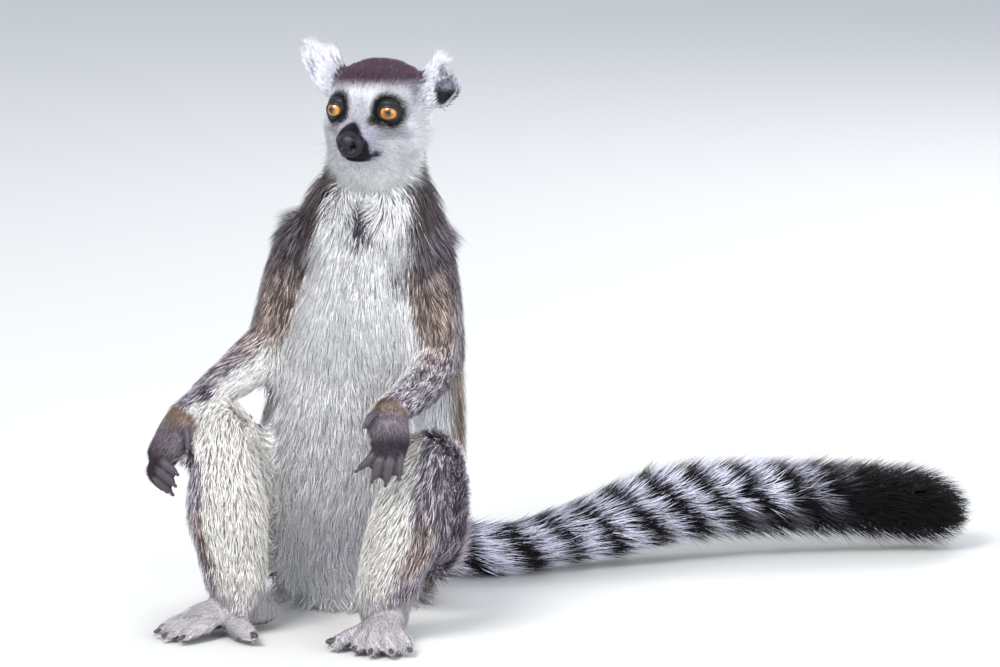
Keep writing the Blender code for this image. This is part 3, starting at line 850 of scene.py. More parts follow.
WHITE_FACE, WHITE_CHEST, WHITE_BELLY = tone(248, 249, 255), tone(253, 253, 255), tone(251, 252, 255)
CAP_GREY, PATCH_BLACK, MUZZLE_BLACK = tone(90, 66, 84), tone(20, 16, 21), tone(24, 19, 31)
LILAC, MOTTLE, LIP_DARK = tone(198, 192, 218), tone(134, 126, 140), tone(58, 60, 78)
BACK_BROWN, CAPE_DARK, RUFOUS = tone(158, 144, 134), tone(76, 68, 76), tone(176, 146, 106)
LIMB_LILAC, CREAM, INNER_WHITE = tone(174, 165, 176), tone(252, 247, 240), tone(248, 245, 242)
WRIST_TAN, HAND_GREY, DIGIT_DARK = tone(172, 148, 128), tone(158, 146, 156), tone(80, 72, 80)
FOOT_PALE, SOLE_DARK, GLAND_GREY = tone(222, 216, 220), tone(48, 42, 46), tone(74, 68, 82)
TAIL_WHITE, TAIL_BLACK, SPOT_DARK = tone(230, 229, 247), tone(17, 15, 19), tone(84, 72, 88)
EAR_WHITE, EAR_INSIDE, EAR_BLACK = tone(240, 240, 252), tone(110, 114, 124), tone(20, 18, 20)

# %% Markings of the head and ears
# Each layer is a mask, its colour and its speckle: how far dark and pale hairs mix there.
# A mask of 1 covers the whole part.
CAP_BORDER, CAP_DROP = 17.0, 75  # height of the cap's front border, and how far it drops behind
PATCH_OUT, PATCH_UP, PATCH_HALF_WIDTH, PATCH_HALF_HEIGHT = 19.2, 0.6, 11.8, 12.4
MUZZLE_FROM, CHIN = 24, -33.5  # how far ahead the muzzle turns black, and where it ends below
LIP_BEND, LIP_SLOPE = -13.4, 0.64  # the black reaches further back below this height
RIDGE_FROM, RIDGE_SLOPE = 16, 0.87  # and near the middle line

# Smudges: how far out and up the middle is, half the width and height, and how soft.
INNER_PATCH = (13, -3, 6, 6, 0.3)
TEMPLE = (28, 9, 5.5, 11, 0.4)
UNDER_EYE = (20, -14, 10, 5, 0.5)
BRIDGE = (0, 0, 7, 9, 0.5)
MOUTH_CORNER = (1, 13, 3.8, 7.5, 0.25)  # measured up from the mouth line, then ahead


def smudge(across, high, sizes):
    """A mask of one smudge."""
    middle_across, middle_high, *sizes = sizes
    return ellipse_mask(across - middle_across, high - middle_high, *sizes)


def head_layers(places):
    """Layers of the head, from the lowest up."""
    left, ahead, up = places.T
    beside = np.abs(left)
    border = CAP_BORDER + 0.05 * left - CAP_DROP * step_up(-ahead, 34, 54)
    cap = step_up(up, border - 5, border + 3.5)
    nape = cap * step_up(-ahead, 28, 44) * step_up(-up, -14, 22)
    temple = smudge(beside, up, TEMPLE) * step_up(-ahead, 7, 13)
    in_face = step_up(ahead, -14, -8)
    slanted = up - PATCH_UP + 0.12 * (beside - 19)
    patch = ellipse_mask(beside - PATCH_OUT, slanted, PATCH_HALF_WIDTH, PATCH_HALF_HEIGHT)
    patch = in_face * np.maximum(patch, smudge(beside, up, INNER_PATCH))
    under = smudge(beside, up, UNDER_EYE) * step_up(ahead, -12, -4)
    muzzle_edge = np.where(up < LIP_BEND, MUZZLE_FROM + LIP_SLOPE * (up - LIP_BEND), MUZZLE_FROM)
    muzzle_edge = np.minimum(RIDGE_FROM + RIDGE_SLOPE * beside, muzzle_edge)
    above_chin = step_up(up, CHIN - 2, CHIN)
    black = step_up(ahead - muzzle_edge, -1.2, 1.2) * above_chin
    lilac = step_up(ahead - muzzle_edge, -13, -3) * step_up(-up, 2, 10) * above_chin
    corner = smudge(up - mouth_height(ahead), ahead, MOUTH_CORNER) * step_up(beside, 6, 9)
    bridge = smudge(beside, up, BRIDGE) * step_up(ahead, 0, 4)
    return [
        (1, WHITE_FACE, 0.08), (cap, CAP_GREY, 0.5), (nape, BACK_BROWN, 0.6),
        (temple * 0.75, MOTTLE, 0.4), (bridge * 0.35, MOTTLE, 0.5), (under * 0.55, MOTTLE, 0.5),
        (lilac * 0.8, LILAC, 0.2), (patch, PATCH_BLACK, 0.15), (corner, LIP_DARK, 0.1),
        (black, MUZZLE_BLACK, 0.1),
    ]


def ear_layers(places, facing, on_left):
    """White ears, grey behind, and a dark hollow in the left one, which shows its cup."""
    back_of_ear = step_up(-facing @ forward, 0.1, 0.7)
    cup = (1 - step_up(cup_radius(places, "ear_left"), 0.6, 0.8)) * step_up(facing @ forward, 0, 0.3)
    cup *= on_left
    low_in_cup = cup * (1 - step_up(places[:, 2], 9, 14))
    return [(1, EAR_WHITE, 0.08), (back_of_ear * 0.5, MOTTLE, 0.3),
            (cup, EAR_INSIDE, 0.2), (low_in_cup, EAR_BLACK, 0.1)]


# %% Markings of the trunk
# How far round from the front the white of the chest and belly reaches, in degrees,
# at some heights: on the right side and on the left side.
WHITE_HEIGHTS = (0, 180, 215, 245, 262, 275, 290, 303, 322)
WHITE_RIGHT = (78, 78, 72, 62, 56, 50, 42, 40, 66)
WHITE_LEFT = (80, 80, 72, 56, 52, 50, 48, 50, 74)
SCENT_SPOTS = ((48, -34, 254), (-20, -34, 264), (-79, -60, 165))  # two armpits and a wrist
STAR_RAYS, RAY_LENGTH = 7, 3  # of the gland's dark star
RUFOUS_FLANK = (150, 110, 60, 45, 0.7)  # a smudge by height, and by degrees round from the front
# The groin's faint lilac-grey is partly the fur's own tint and partly painted shade in the folds between the
# thighs.
GROIN_TINT_AND_SHADE = (14, 62, 34, 30, 0.8)
UNDER_GLAND = (4, -26, 1.6, 20, 0.5)  # measured from the gland


def body_layers(places):
    """Layers of the neck and trunk."""
    height = places[:, 2]
    _, _, axis = along(BACKBONE, places)
    turned = np.degrees(np.arctan2(places[:, 0] - axis[:, 0], axis[:, 1] - places[:, 1]))
    off_front = np.abs(turned)
    side = np.where(turned < 0, np.interp(height, WHITE_HEIGHTS, WHITE_RIGHT),
                    np.interp(height, WHITE_HEIGHTS, WHITE_LEFT))
    back = step_up(off_front, side - 5, side + 7)
    cape = back * step_up(height, 215, 250) * (1 - 0.55 * step_up(off_front, 95, 140))
    rufous = back * smudge(height, off_front, RUFOUS_FLANK)
    aside, over_gland = places[:, 0] - GLAND[0], height - GLAND[2]
    star = np.hypot(aside, over_gland) + RAY_LENGTH * np.sin(STAR_RAYS * np.arctan2(over_gland, aside))
    gland = (1 - step_up(star, 8, 14)) * (off_front < 60)
    # The groin: partly the fur's own lilac-grey tint and partly painted shade between the thighs.
    groin = smudge(places[:, 0], height, GROIN_TINT_AND_SHADE) * (off_front < 70)
    streak = smudge(np.abs(aside), over_gland, UNDER_GLAND) * (off_front < 60)
    return [(1, WHITE_CHEST, 0.06), (back, BACK_BROWN, 0.6),
            (rufous * 0.2, RUFOUS, 0.5), (cape * 0.85, CAPE_DARK, 0.6), (gland, GLAND_GREY, 0.5),
            (streak * 0.45, MOTTLE, 0.4), (groin * 0.35, LILAC, 0.25),
            (scent_spots(places), SPOT_DARK, 0.3)]


def scent_spots(places):
    """The small dark scent glands in front of the armpits and over the wrist."""
    spots = [np.linalg.norm((places - spot) * (1, 0.3, 1), axis=1) for spot in SCENT_SPOTS]
    return (1 - step_up(np.min(spots, axis=0), 4, 8)) * (places[:, 1] < -5)


# %% Markings of the limbs
ARM_RUFOUS_HEIGHT, ARM_RUFOUS_REACH = 222, 34
LEG_WHITE_LEFT, LEG_WHITE_RIGHT = 14, 24  # degrees that a shin's white reaches round outside
SHIN_BROWN = (70, 35, 22, 22, 0.5)  # a smudge by height, and by degrees round


def arm_layers(places, facing, side):
    """Dark speckled outside, a rufous middle, and white inside the forearm."""
    height = places[:, 2]
    front = step_up(-facing[:, 1], 0.0, 0.6)
    rufous = front * ellipse_mask(height - ARM_RUFOUS_HEIGHT, 0, ARM_RUFOUS_REACH, 1, 0.8)
    inner = step_up(-side * facing[:, 0], 0.0, 0.6) * (1 - step_up(height, 185, 205))
    return [(1, LIMB_LILAC, 0.85), (rufous * 0.5, RUFOUS, 0.75),
            (step_up(height, 232, 262) * 0.75, CAPE_DARK, 0.7), (inner, INNER_WHITE, 0.12),
            (scent_spots(places), SPOT_DARK, 0.3)]


def leg_layers(places, facing, side):
    """White inside and in front, speckled grey outside."""
    outer_turn = np.degrees(np.arctan2(side * facing[:, 0], -facing[:, 1]))
    limit = np.where(side > 0, LEG_WHITE_LEFT, LEG_WHITE_RIGHT)
    white = 1 - step_up(np.abs(outer_turn + 60) - 60, limit - 6, limit + 8)
    brown = smudge(places[:, 2], outer_turn, SHIN_BROWN)
    return [(1, LIMB_LILAC, 0.85), (brown * 0.4, RUFOUS, 0.6), (white, CREAM, 0.12)]


def hand_layers(places):
    """Tan at the wrist, speckled grey on the back of the hand, and dark digits."""
    wrists = LINES["hand_right"][0], LINES["hand_left"][0]
    from_wrist = np.min([np.linalg.norm(places - wrist, axis=1) for wrist in wrists], axis=0)
    return [(1, WRIST_TAN, 0.4), (step_up(from_wrist, 8, 22), HAND_GREY, 0.5),
            (step_up(from_wrist, 26, 38), DIGIT_DARK, 0.2)]


def foot_layers(facing):
    """Pale above and dark below."""
    return [(1, FOOT_PALE, 0.25), (step_up(-facing[:, 2], 0.2, 0.7), SOLE_DARK, 0.1)]


# %% Rings of the tail
RING_PITCH, FIRST_RING, LAST_RING = 33.2, 113.0, 392  # along the tail
RING_SLANT = 0.55
RINGS_FADE, FADED = (335, 385), 0.75  # towards the tip
UNDERSIDE_FADE, UNDERSIDE_FADED = (270, 320), 0.85


def tail_layers(places):
    """White rings on black, slanted, fading out before the black tip and sooner below."""
    length, _, axis = along(TAIL, places)
    slanted = length + RING_SLANT * (places[:, 2] - axis[:, 2])
    phase = np.cos((slanted - FIRST_RING) / RING_PITCH * 2 * math.pi)
    white = step_up(phase, 0.05, 0.45) * (1 - FADED * step_up(length, *RINGS_FADE))
    below = step_up(axis[:, 2] - places[:, 2], -8, 8)
    white *= 1 - UNDERSIDE_FADED * below * step_up(length, *UNDERSIDE_FADE)
    white *= 1 - step_up(length, LAST_RING - 6, LAST_RING + 8)
    return [(1, TAIL_BLACK, 0.15), (white, TAIL_WHITE, 0.08)]


# %% All the markings together
MIDDLE_LINE = 10  # between left and right limbs, in the body's frame
THROAT = (310, 318)  # heights between which the trunk's markings give way to the head's


def markings(places, parts, facing):
    """Colour and speckle of the coat at each place, for the parts of the body there."""
    head_here, body_here = in_head(places), in_body(places)
    colour = np.tile(WHITE_BELLY, (len(parts), 1))
    speckle = np.full(len(parts), 0.10)
    side = np.where(body_here[:, 0] > MIDDLE_LINE, 1.0, -1.0)

    def having(*starts):
        return np.array([name.startswith(starts) for name in solids])[parts].astype(float)

    on_body = np.maximum(having("neck", "trunk"), having("head") * (1 - step_up(body_here[:, 2], *THROAT)))
    for where, layers in (
        (having("head", "eye"), head_layers(head_here)),
        (on_body, body_layers(body_here)),
        (having("ear"), ear_layers(head_here, facing, having("ear_left"))),
        (having("upper_arm", "forearm"), arm_layers(body_here, facing, side)),
        (having("thigh", "shank"), leg_layers(body_here, facing, side)),
        (having("foot"), foot_layers(facing)),
        (having("hand"), hand_layers(body_here)),
        (having("tail"), tail_layers(body_here)),
    ):
        for mask, shade, grain in layers:
            share = mask * where
            colour = colour * (1 - share[:, None]) + shade * share[:, None]
            speckle = speckle * (1 - share) + grain * share
    return colour, speckle


# %% Colour the skin
# Painted shade: the skin is darkened between the digits and inside the nostrils. Under the fur of the limbs
# it is darker partly for the skin's own dark colour and partly as painted shade.
UNDER_FUR_DARK_AND_SHADE, PAINTED_GAP_SHADE, PAINTED_NOSTRIL_SHADE = 0.45, 0.75, 0.85

skin_normals = unit(normals)
skin_colour, _ = markings(points, nodes, skin_normals)
dark_digit = (part_of_body("hand") * step_up(digit_share, 0.1, 0.45))[:, None]
skin_colour = skin_colour * (1 - dark_digit) + 0.8 * DIGIT_DARK * dark_digit
under_fur = part_of_body("hand", "foot", "shank", "forearm") * (1 - step_up(digit_share, 0.1, 0.4))
for shaded, share in ((under_fur, UNDER_FUR_DARK_AND_SHADE), (between_digits, PAINTED_GAP_SHADE), (in_nostril, PAINTED_NOSTRIL_SHADE)):
    skin_colour = skin_colour * (1 - share * shaded[:, None])
print("skin coloured:", skin_colour.mean(axis=0).round(3))

# %% [markdown]
# ## Skin material
#
# The colours sit in a colour attribute. Short fur that lies flat is drawn as
# bump on the skin itself: fine noise for fur, and rounder pebbles for the bare
# leather of the nose, hands and soles. A second attribute says how bare each
# place is, and it also makes the leather glossier.

# %% Skin material
FUR_ROUGHNESS, LEATHER_ROUGHNESS = 0.85, 0.38


def add_colour_attribute(mesh, name, colours):
    layer = mesh.color_attributes.new(name, "FLOAT_COLOR", "POINT")
    rows = np.ones((len(colours), 4), np.float32)
    rows[:, :3] = colours
    layer.data.foreach_set("color", rows.ravel())


def skin_material():
    made, shader = new_material("skin")
    colour = add_node(made, "Attribute", "Color", attribute_name="coat")
    bare = add_node(made, "Attribute", "Fac", attribute_name="bare")
    place = add_node(made, "TexCoord", "Object")
    fur = noise(made, 900, 3, place)
    pebbles = add_node(made, "TexVoronoi", "Distance", {"Vector": place, "Scale": 2600})
    relief = add_node(made, "Mix", "Result", {"Factor": bare, "A": fur, "B": pebbles})
    fill(shader, {
        "Base Color": mottled(made, colour, fur, 0.2),
        "Normal": add_node(made, "Bump", "Normal", {"Strength": 0.25, "Distance": 0.0004, "Height": relief}),
        "Roughness": add_node(made, "MapRange", "Result", {
            "Value": bare, "To Min": FUR_ROUGHNESS, "To Max": LEATHER_ROUGHNESS}),
        "Specular IOR Level": 0.35,
    })
    return made


# %% The finished skin
left, ahead, up = face.T
on_pad = 1 - step_up(np.hypot(left / 9.5, (up - NOSE_HEIGHT) / 9), 0.9, 1.15)
bare = np.max([
    part_of_body("hand") * step_up(-skin_normals[:, 2], 0.35, 0.8) * 0.6,
    part_of_body("foot") * step_up(-skin_normals[:, 2], 0.2, 0.7),
    on_head * on_pad * step_up(ahead, 21, 25),
    on_head * 0.8 * (1 - step_up(from_eye, 9, 11)),
    in_cup * 0.7,
    part_of_body("hand") * 0.8 * step_up(digit_share, 0.15, 0.5),
], axis=0)

skin_mesh.vertices.foreach_set("co", skin_points.ravel().astype(np.float32))
add_colour_attribute(skin_mesh, "coat", skin_colour)
skin_mesh.attributes.new("bare", "FLOAT", "POINT").data.foreach_set("value", bare.astype(np.float32))
skin_mesh.shade_smooth()
skin_mesh.materials.clear()
add_piece("skin", skin_mesh, skin_material(), replaced=flesh)

# %% [markdown]
# ## Eyes
#
# An eyeball is a sphere with a cornea that stands out a little in front. Its
# colours are rings round the gaze, so the material turns Object coordinates
# into the eye's own frame with a Mapping node and reads the distance from the
# axis. A clear coat gives the wet highlight.

# %% Material of the eyes
EYE_RINGS = [  # distance from the axis as a share of the radius, and colour
    (0.00, tone(5, 3, 3)), (0.15, tone(8, 5, 4)), (0.20, tone(64, 32, 12)),
    (0.34, tone(126, 76, 20)), (0.52, tone(190, 132, 42)), (0.66, tone(168, 104, 30)),
    (0.73, tone(60, 32, 14)), (0.78, tone(20, 14, 14)), (1.0, tone(24, 18, 18)),
]
RING_WOBBLE = 0.10  # how unevenly the rings run, as a share of the radius


def eye_material(name, centre, turn):
    made, shader = new_material(name)
    in_eye = add_node(made, "Mapping", "Vector", {
        "Vector": add_node(made, "TexCoord", "Object"), "Location": centre,
        "Rotation": (0, 0, turn), "Scale": [EYE_RADIUS * MM] * 3}, vector_type="TEXTURE")
    flat = add_node(made, "VectorMath", "Vector", {0: in_eye, 1: (1, 0, 1)}, operation="MULTIPLY")
    radius = add_node(made, "VectorMath", "Value", {0: flat}, operation="LENGTH")
    spoke = add_node(made, "VectorMath", "Vector", {0: flat}, operation="NORMALIZE")
    wobbling = add_node(made, "Math", "Value", {0: noise(made, 9, 4, spoke), 1: RING_WOBBLE, 2: radius},
                        operation="MULTIPLY_ADD")
    ring = add_node(made, "Math", "Value", {0: wobbling, 1: RING_WOBBLE / 2}, operation="SUBTRACT")
    fill(shader, {
        "Base Color": colour_ramp(made, ring, EYE_RINGS), "Roughness": 0.25,
        "Coat Weight": 1.0, "Coat Roughness": 0.02,
    })
    return made


# %% Eyeballs
CORNEA_RISE, CORNEA_EDGE = 0.7, 0.78  # the edge is the cosine of its angle from the gaze

head_turn = math.atan2(sideways[1], sideways[0])
for node, sign in (("eye_left", 1), ("eye_right", -1)):
    centre = middle(node)
    gaze = eye_axes(sign)[1] @ head_axes
    shape = bmesh.new()
    bmesh.ops.create_uvsphere(shape, u_segments=64, v_segments=40, radius=EYE_RADIUS * MM)
    for vertex in shape.verts:
        front = float(np.dot(vertex.co.normalized(), gaze))
        bulge = CORNEA_RISE * float(step_up(front, CORNEA_EDGE, 1.0))
        vertex.co = Vector(centre) + vertex.co * (1 + bulge / EYE_RADIUS)
    wet = eye_material(node + "_wet", centre, head_turn + sign * GAZE_TURN)
    add_piece(node + "_ball", mesh_from(shape, node + "_ball"), wet, replaced=[node])

# %% [markdown]
# ## Lid margins
#
# The edge of a lid is a wet dark rim, about a millimetre thick. A small circle
# is spun into a ring, and the ring is then stretched over the eyeball along
# the almond of the opening, so it also covers the cut edge of the skin.

# %% Dark leather and horn
def glossy_dark(name, colour, roughness, scale):
    """Dark leather or horn, with fine noise in its colour and its bump."""
    made, shader = new_material(name)
    grain = noise(made, scale, 2)
    stops = [(0, colour * 0.6), (1, np.minimum(colour * 1.6, 1))]
    fill(shader, {
        "Base Color": colour_ramp(made, grain, stops), "Roughness": roughness,
        "Normal": add_node(made, "Bump", "Normal", {"Strength": 0.2, "Distance": 0.0002, "Height": grain}),
    })
    return made


# %% Rims of the lids
RIM_SIZE = 0.55  # radius of the rim's section
RIM_SECTION, RIM_STEPS = 8, 72
SPUN_RADIUS = 10  # of the ring before it is stretched

rim_black = glossy_dark("lid_rim", tone(30, 22, 26), 0.3, 1500)
for side, sign in (("left", 1), ("right", -1)):
    shape = bmesh.new()
    bmesh.ops.create_circle(shape, segments=RIM_SECTION, radius=RIM_SIZE)
    bmesh.ops.rotate(shape, verts=shape.verts, matrix=Matrix.Rotation(math.pi / 2, 3, "X"))
    bmesh.ops.translate(shape, verts=shape.verts, vec=(SPUN_RADIUS, 0, 0))
    bmesh.ops.spin(shape, geom=shape.verts[:] + shape.edges[:], axis=(0, 0, 1), cent=(0, 0, 0),
                   angle=2 * math.pi, steps=RIM_STEPS, use_merge=True)
    for vertex in shape.verts:
        turn = math.atan2(vertex.co.y, vertex.co.x)
        inset = math.hypot(vertex.co.x, vertex.co.y) - SPUN_RADIUS
        angle = float(opening(turn)) + inset / EYE_RADIUS
        reach = EYE_RADIUS + RIM_HEIGHT + vertex.co.z
        place = from_eye_centre(angle, turn) * reach @ eye_axes(sign) + (sign * EYE_SPACING, 0, 0)
        vertex.co = head_point(*place)
    add_piece("lid_rim_" + side, mesh_from(shape, "lid_rim_" + side), rim_black)

# %% [markdown]
# ## Nails
#
# Each digit ends in a flat dark nail. A nail is a small sphere, squashed and
# pulled long, that sits on the back of the digit's end.

# %% Nails
# Shares of the digit's radius: the nail's size, and how far it sits past the end and out.
NAIL_SHARES = (0.5, 0.85, 0.36)  # width, length and thickness
NAIL_AHEAD, NAIL_OUT = 0.55, 0.62

nail_horn = glossy_dark("nail_horn", tone(62, 54, 56), 0.35, 900)
shape = bmesh.new()
for name, lines in digits.items():
    back_of_digit = Vector((0, 0, 1)) if name.startswith("foot") else Vector((0, -1, 0.2))
    for line, radii in lines:
        end, before, radius = Vector(line[-1]), Vector(line[-2]), radii[-1]
        onward = (end - before).normalized()
        away = (back_of_digit - onward * back_of_digit.dot(onward)).normalized()
        across = onward.cross(away)
        centre = end + onward * radius * NAIL_AHEAD + away * radius * NAIL_OUT
        sides = [axis * (share * radius) for axis, share in zip((across, onward, away), NAIL_SHARES)]
        nail = bmesh.ops.create_uvsphere(shape, u_segments=12, v_segments=8, radius=1)
        for vertex in nail["verts"]:
            vertex.co = body_point(*(centre + Matrix(sides).transposed() @ vertex.co))
add_piece("nails", mesh_from(shape, "nails"), nail_horn)

# %% [markdown]
# ## Whiskers
#
# Stiff dark whiskers stand out of the muzzle, over the eyes and on the cheeks.
# They are few, so each one is a thin cone of its own, bent by moving its rings.

# %% Whiskers
WHISKER_ROOTS = [  # root in the head's frame, direction, length
    ((11, 19, -19), (0.8, 0.1, -0.1), 20), ((12, 16, -22), (0.85, 0, -0.25), 21),
    ((12, 13, -25), (0.85, -0.1, -0.4), 18), ((11, 21, -24), (0.75, 0.2, -0.45), 15),
    ((10, 22, -28), (0.6, 0.3, -0.7), 12), ((12, 10, -21), (0.9, -0.2, -0.1), 17),
    ((15, 6, 11), (0.25, 0.35, 0.9), 10), ((18, 4, 12), (0.35, 0.3, 0.9), 11),
    ((26, -10, -20), (0.8, 0.1, -0.5), 12),
]
WHISKER_THICKNESS, WHISKER_SAG = 0.09, 0.12


def add_whisker(shape, root, direction, length):
    """A thin cone from its root, sagging towards its end, added to a bmesh."""
    cone = bmesh.new()
    bmesh.ops.create_cone(cone, segments=5, radius1=WHISKER_THICKNESS,
                          radius2=WHISKER_THICKNESS / 5, depth=length, cap_ends=True)
    sides = [edge for edge in cone.edges if edge.calc_length() > length / 2]
    bmesh.ops.subdivide_edges(cone, edges=sides, cuts=5)
    turned = Vector(direction).normalized().to_track_quat("Z", "Y").to_matrix()
    for vertex in cone.verts:
        far = vertex.co.z + length / 2
        place = turned @ Vector((vertex.co.x, vertex.co.y, far)) + Vector(root)
        place.z -= WHISKER_SAG * far * far / length
        vertex.co = head_point(*place)
    made = bpy.data.meshes.new("one_whisker")
    cone.to_mesh(made)
    cone.free()
    shape.from_mesh(made)
    bpy.data.meshes.remove(made)


whisker_black = glossy_dark("whisker", tone(40, 35, 38), 0.4, 700)
shape = bmesh.new()
for sign in (-1, 1):
    mirror = np.array((sign, 1, 1))
    for root, direction, length in WHISKER_ROOTS:
        add_whisker(shape, mirror * root, mirror * direction, length)
add_piece("whiskers", mesh_from(shape, "whiskers"), whisker_black)

# %% [markdown]
# ## Planning the coat
#
# A coat could be particle hair, but hair particles are lost when a model is
# exported, so every tuft here is a small closed mesh. Thousands of tufts are
# joined in one mesh, made from arrays. Four maps over the skin plan them: which
# way the coat rises, how far, how long its hair is and how thick it grows.

# %% Length of the hair
HAIR_LENGTH = {
    "head": 8, "neck": 20, "trunk": 30, "ear": 8, "eye": 2, "upper_arm": 20, "forearm": 13,
    "hand": 5.5, "thigh": 26, "shank": 17, "foot": 7.0, "tail": 36,
}
LID_HAIR, MUZZLE_HAIR, FACE_GAIN, CROWN_GAIN, CHEEK_GAIN, JAW_GAIN = 2.2, 2.2, 2.2, 4.5, 8, 7
EAR_HAIR, EAR_TUFT_GAIN = 7, 10
IN_CUP_LOSS, GLAND_LOSS = 0.55, 0.65

left, ahead, up = head_places.T
from_nose_tip = np.linalg.norm(head_places - (0, 30, -20), axis=1)
head_hair = MUZZLE_HAIR + FACE_GAIN * step_up(from_nose_tip, 16, 36)
head_hair = head_hair + CROWN_GAIN * step_up(-ahead, 6, 26) + CHEEK_GAIN * cheek
head_hair += JAW_GAIN * step_up(-up, 34, 44)
head_hair = np.where(from_eye < 14, np.minimum(head_hair, LID_HAIR), head_hair)
ear_end = np.maximum(step_up(up, 14, 30), step_up(-left, 44, 56) * step_up(up, 14, 26))
near_cup = relaxed(in_cup, 4)
ear_hair = EAR_HAIR + EAR_TUFT_GAIN * ear_end
ear_hair = ear_hair * (1 - IN_CUP_LOSS * np.clip(near_cup * 1.5, 0, 1))
hair_length = np.where(on_head, head_hair, chosen(HAIR_LENGTH))
hair_length = np.where(on_ear, ear_hair, hair_length)
hair_length = hair_length * (1 - GLAND_LOSS * whirl * (1 - step_up(far_from_gland, 10, 38)))
hair_length = relaxed(hair_length, 16)

# %% The mantle over the shoulders
# Longer hair hangs over each shoulder and makes the neck and the arm one slope.
BODY_MIDDLE = 19  # of the neck and chest, to the left of the rump's
MANTLE_GAIN, MANTLE_TURN = 12, 0.6

beside_neck = np.abs(body_places[:, 0] - BODY_MIDDLE)
mantle = part_of_body("trunk", "neck", "upper_arm") * step_up(height, 262, 276)
mantle *= 1 - step_up(height, 304, 322)
mantle *= step_up(beside_neck, 14, 22) * (1 - step_up(beside_neck, 40, 56))
hair_length += MANTLE_GAIN * mantle
to_side = np.sign(body_places[:, 0] - BODY_MIDDLE)[:, None]
over_shoulder = unit(to_side * (1, 0, 0) + (0, 0, -0.7))
lie = lie + (over_shoulder - lie) * (MANTLE_TURN * mantle * step_up(height, 276, 290))[:, None]
print("hair from", round(hair_length.min(), 1), "to", round(hair_length.max(), 1), "mm long")

# %% Rise, thickness, and the lie round the ears' cups
EAR_RISE, EAR_TUFT_RISE = 2.0, 2
LEAST_RISE, MOST_RISE = 0.3, 0.85  # shares of the hair's length
LEAST_IN_CUP, RIM_TURN = 0.2, 0.8

outward = unit(relaxed(vertex_array(skin_mesh, "normal"), 2))
rise = depth + (np.linalg.norm(points - core_points, axis=1) / MM - depth) * tail_weight
rise = np.where(on_ear, EAR_RISE + EAR_TUFT_RISE * ear_end, rise) + MANTLE_GAIN * mantle
rise = np.clip(relaxed(rise, 4), hair_length * LEAST_RISE, hair_length * MOST_RISE)
thickness = 1 - np.clip(bare * 1.6, 0, 1)
thickness *= np.where(on_head, step_up(from_eye, 9.2, 10.4), 1)
thickness = np.where(on_ear, np.maximum(1 - 1.1 * in_cup, LEAST_IN_CUP), thickness)
for name, (centre, facing, *_) in EAR_CUPS.items():
    from_cup = unit((head_places - centre) @ head_axes)
    at_rim = part_of_body(name) * np.clip(near_cup * 2.5, 0, 1)
    at_rim = at_rim * step_up(outward @ head_axes.T @ facing, 0, 0.4)
    lie = lie + (from_cup - lie) * (RIM_TURN * at_rim)[:, None]
print("coat rises", round(rise.min(), 1), "to", round(rise.max(), 1), "mm")

# %% [markdown]
# ## Roots
#
# Roots are drawn at random over the skin's triangles, each as likely as its
# area times the coat's thickness there. Taking one draw from each equal slice
# of the total keeps bare gaps away. What a root needs to know is mixed from
# the corners of its triangle.

# %% Draw the roots
triangles = np.empty(len(skin_mesh.polygons) * 3, np.int32)
skin_mesh.polygons.foreach_get("vertices", triangles)
triangles = triangles.reshape(-1, 3)


def area_of(places):
    corners = places[triangles] / MM
    crossed = np.cross(corners[:, 1] - corners[:, 0], corners[:, 2] - corners[:, 0])
    return np.linalg.norm(crossed, axis=1) / 2


coat_area = (area_of(points) + area_of(skin_points)) / 2


def draw_roots(draw, count, weights):
    """Corners and their shares for each root, drawn by area and weight."""
    chance = np.cumsum(coat_area * weights[triangles].mean(axis=1))
    slices = (np.arange(count) + draw.random(count)) / count * chance[-1]
    picked = triangles[np.minimum(np.searchsorted(chance, slices), len(triangles) - 1)]
    first, second = np.sqrt(draw.random(count)), draw.random(count)
    shares = np.stack([1 - first, first * (1 - second), first * second], axis=1)
    return picked, shares


def mixed(values, roots):
    """Values at the roots, from those at the corners."""
    picked, shares = roots
    values = np.asarray(values, float)
    if values.ndim == 1:
        return (values[picked] * shares).sum(axis=1)
    return np.einsum("ij,ijk->ik", shares, values[picked])


print("coat area:", round(coat_area.sum() / 100), "square centimetres")

# %% [markdown]
# ## The shape of a tuft
#
# A tuft is a flattened spike with a ridge on top: a triangle at the root, a
# second one half way, and a point. It leaves the skin steeply and bends over
# to lie along the body. The shortest fur has no bend, so there the middle is
# left out, and a tuft takes four triangles instead of ten.

# %% Tuft shapes
# A kind of tuft has the corners of its faces, and for each corner its stage, which is
# 0 at the root, 1 half way and 2 at the end, and its place in the tuft's patch.
BENT_TUFT = {
    "faces": [(1, 4, 5), (1, 5, 2), (2, 5, 3), (2, 3, 0), (0, 3, 4), (0, 4, 1),
              (4, 6, 5), (5, 6, 3), (3, 6, 4), (1, 2, 0)],
    "stages": [0, 0, 0, 1, 1, 1, 2],
    "patch": [(0, 0), (1, 0), (0.5, 0.15), (0.1, 0.5), (0.9, 0.5), (0.5, 0.6), (0.5, 1)],
}
SHORT_TUFT = {
    "faces": [(1, 3, 2), (2, 3, 0), (0, 3, 1), (1, 2, 0)],
    "stages": [0, 0, 0, 2],
    "patch": [(0, 0), (1, 0), (0.5, 0.15), (0.5, 1)],
}
RIDGE = 0.3  # height of a tuft's ridge, as a share of its half width
HALF_WAY_WIDTH = 0.85
FLOOR_GAP = 0.4 * MM
CLUMP_SIZE = 12  # tufts whose ends are drawn together
HALF_WAY_PULL = 0.4  # of how far their ends are drawn


def pointing(way, out, angle):
    """The way a tuft points at an angle off the skin, and the way its ridge faces."""
    angle = angle[:, None]
    return way * np.cos(angle) + out * np.sin(angle), out * np.cos(angle) - way * np.sin(angle)


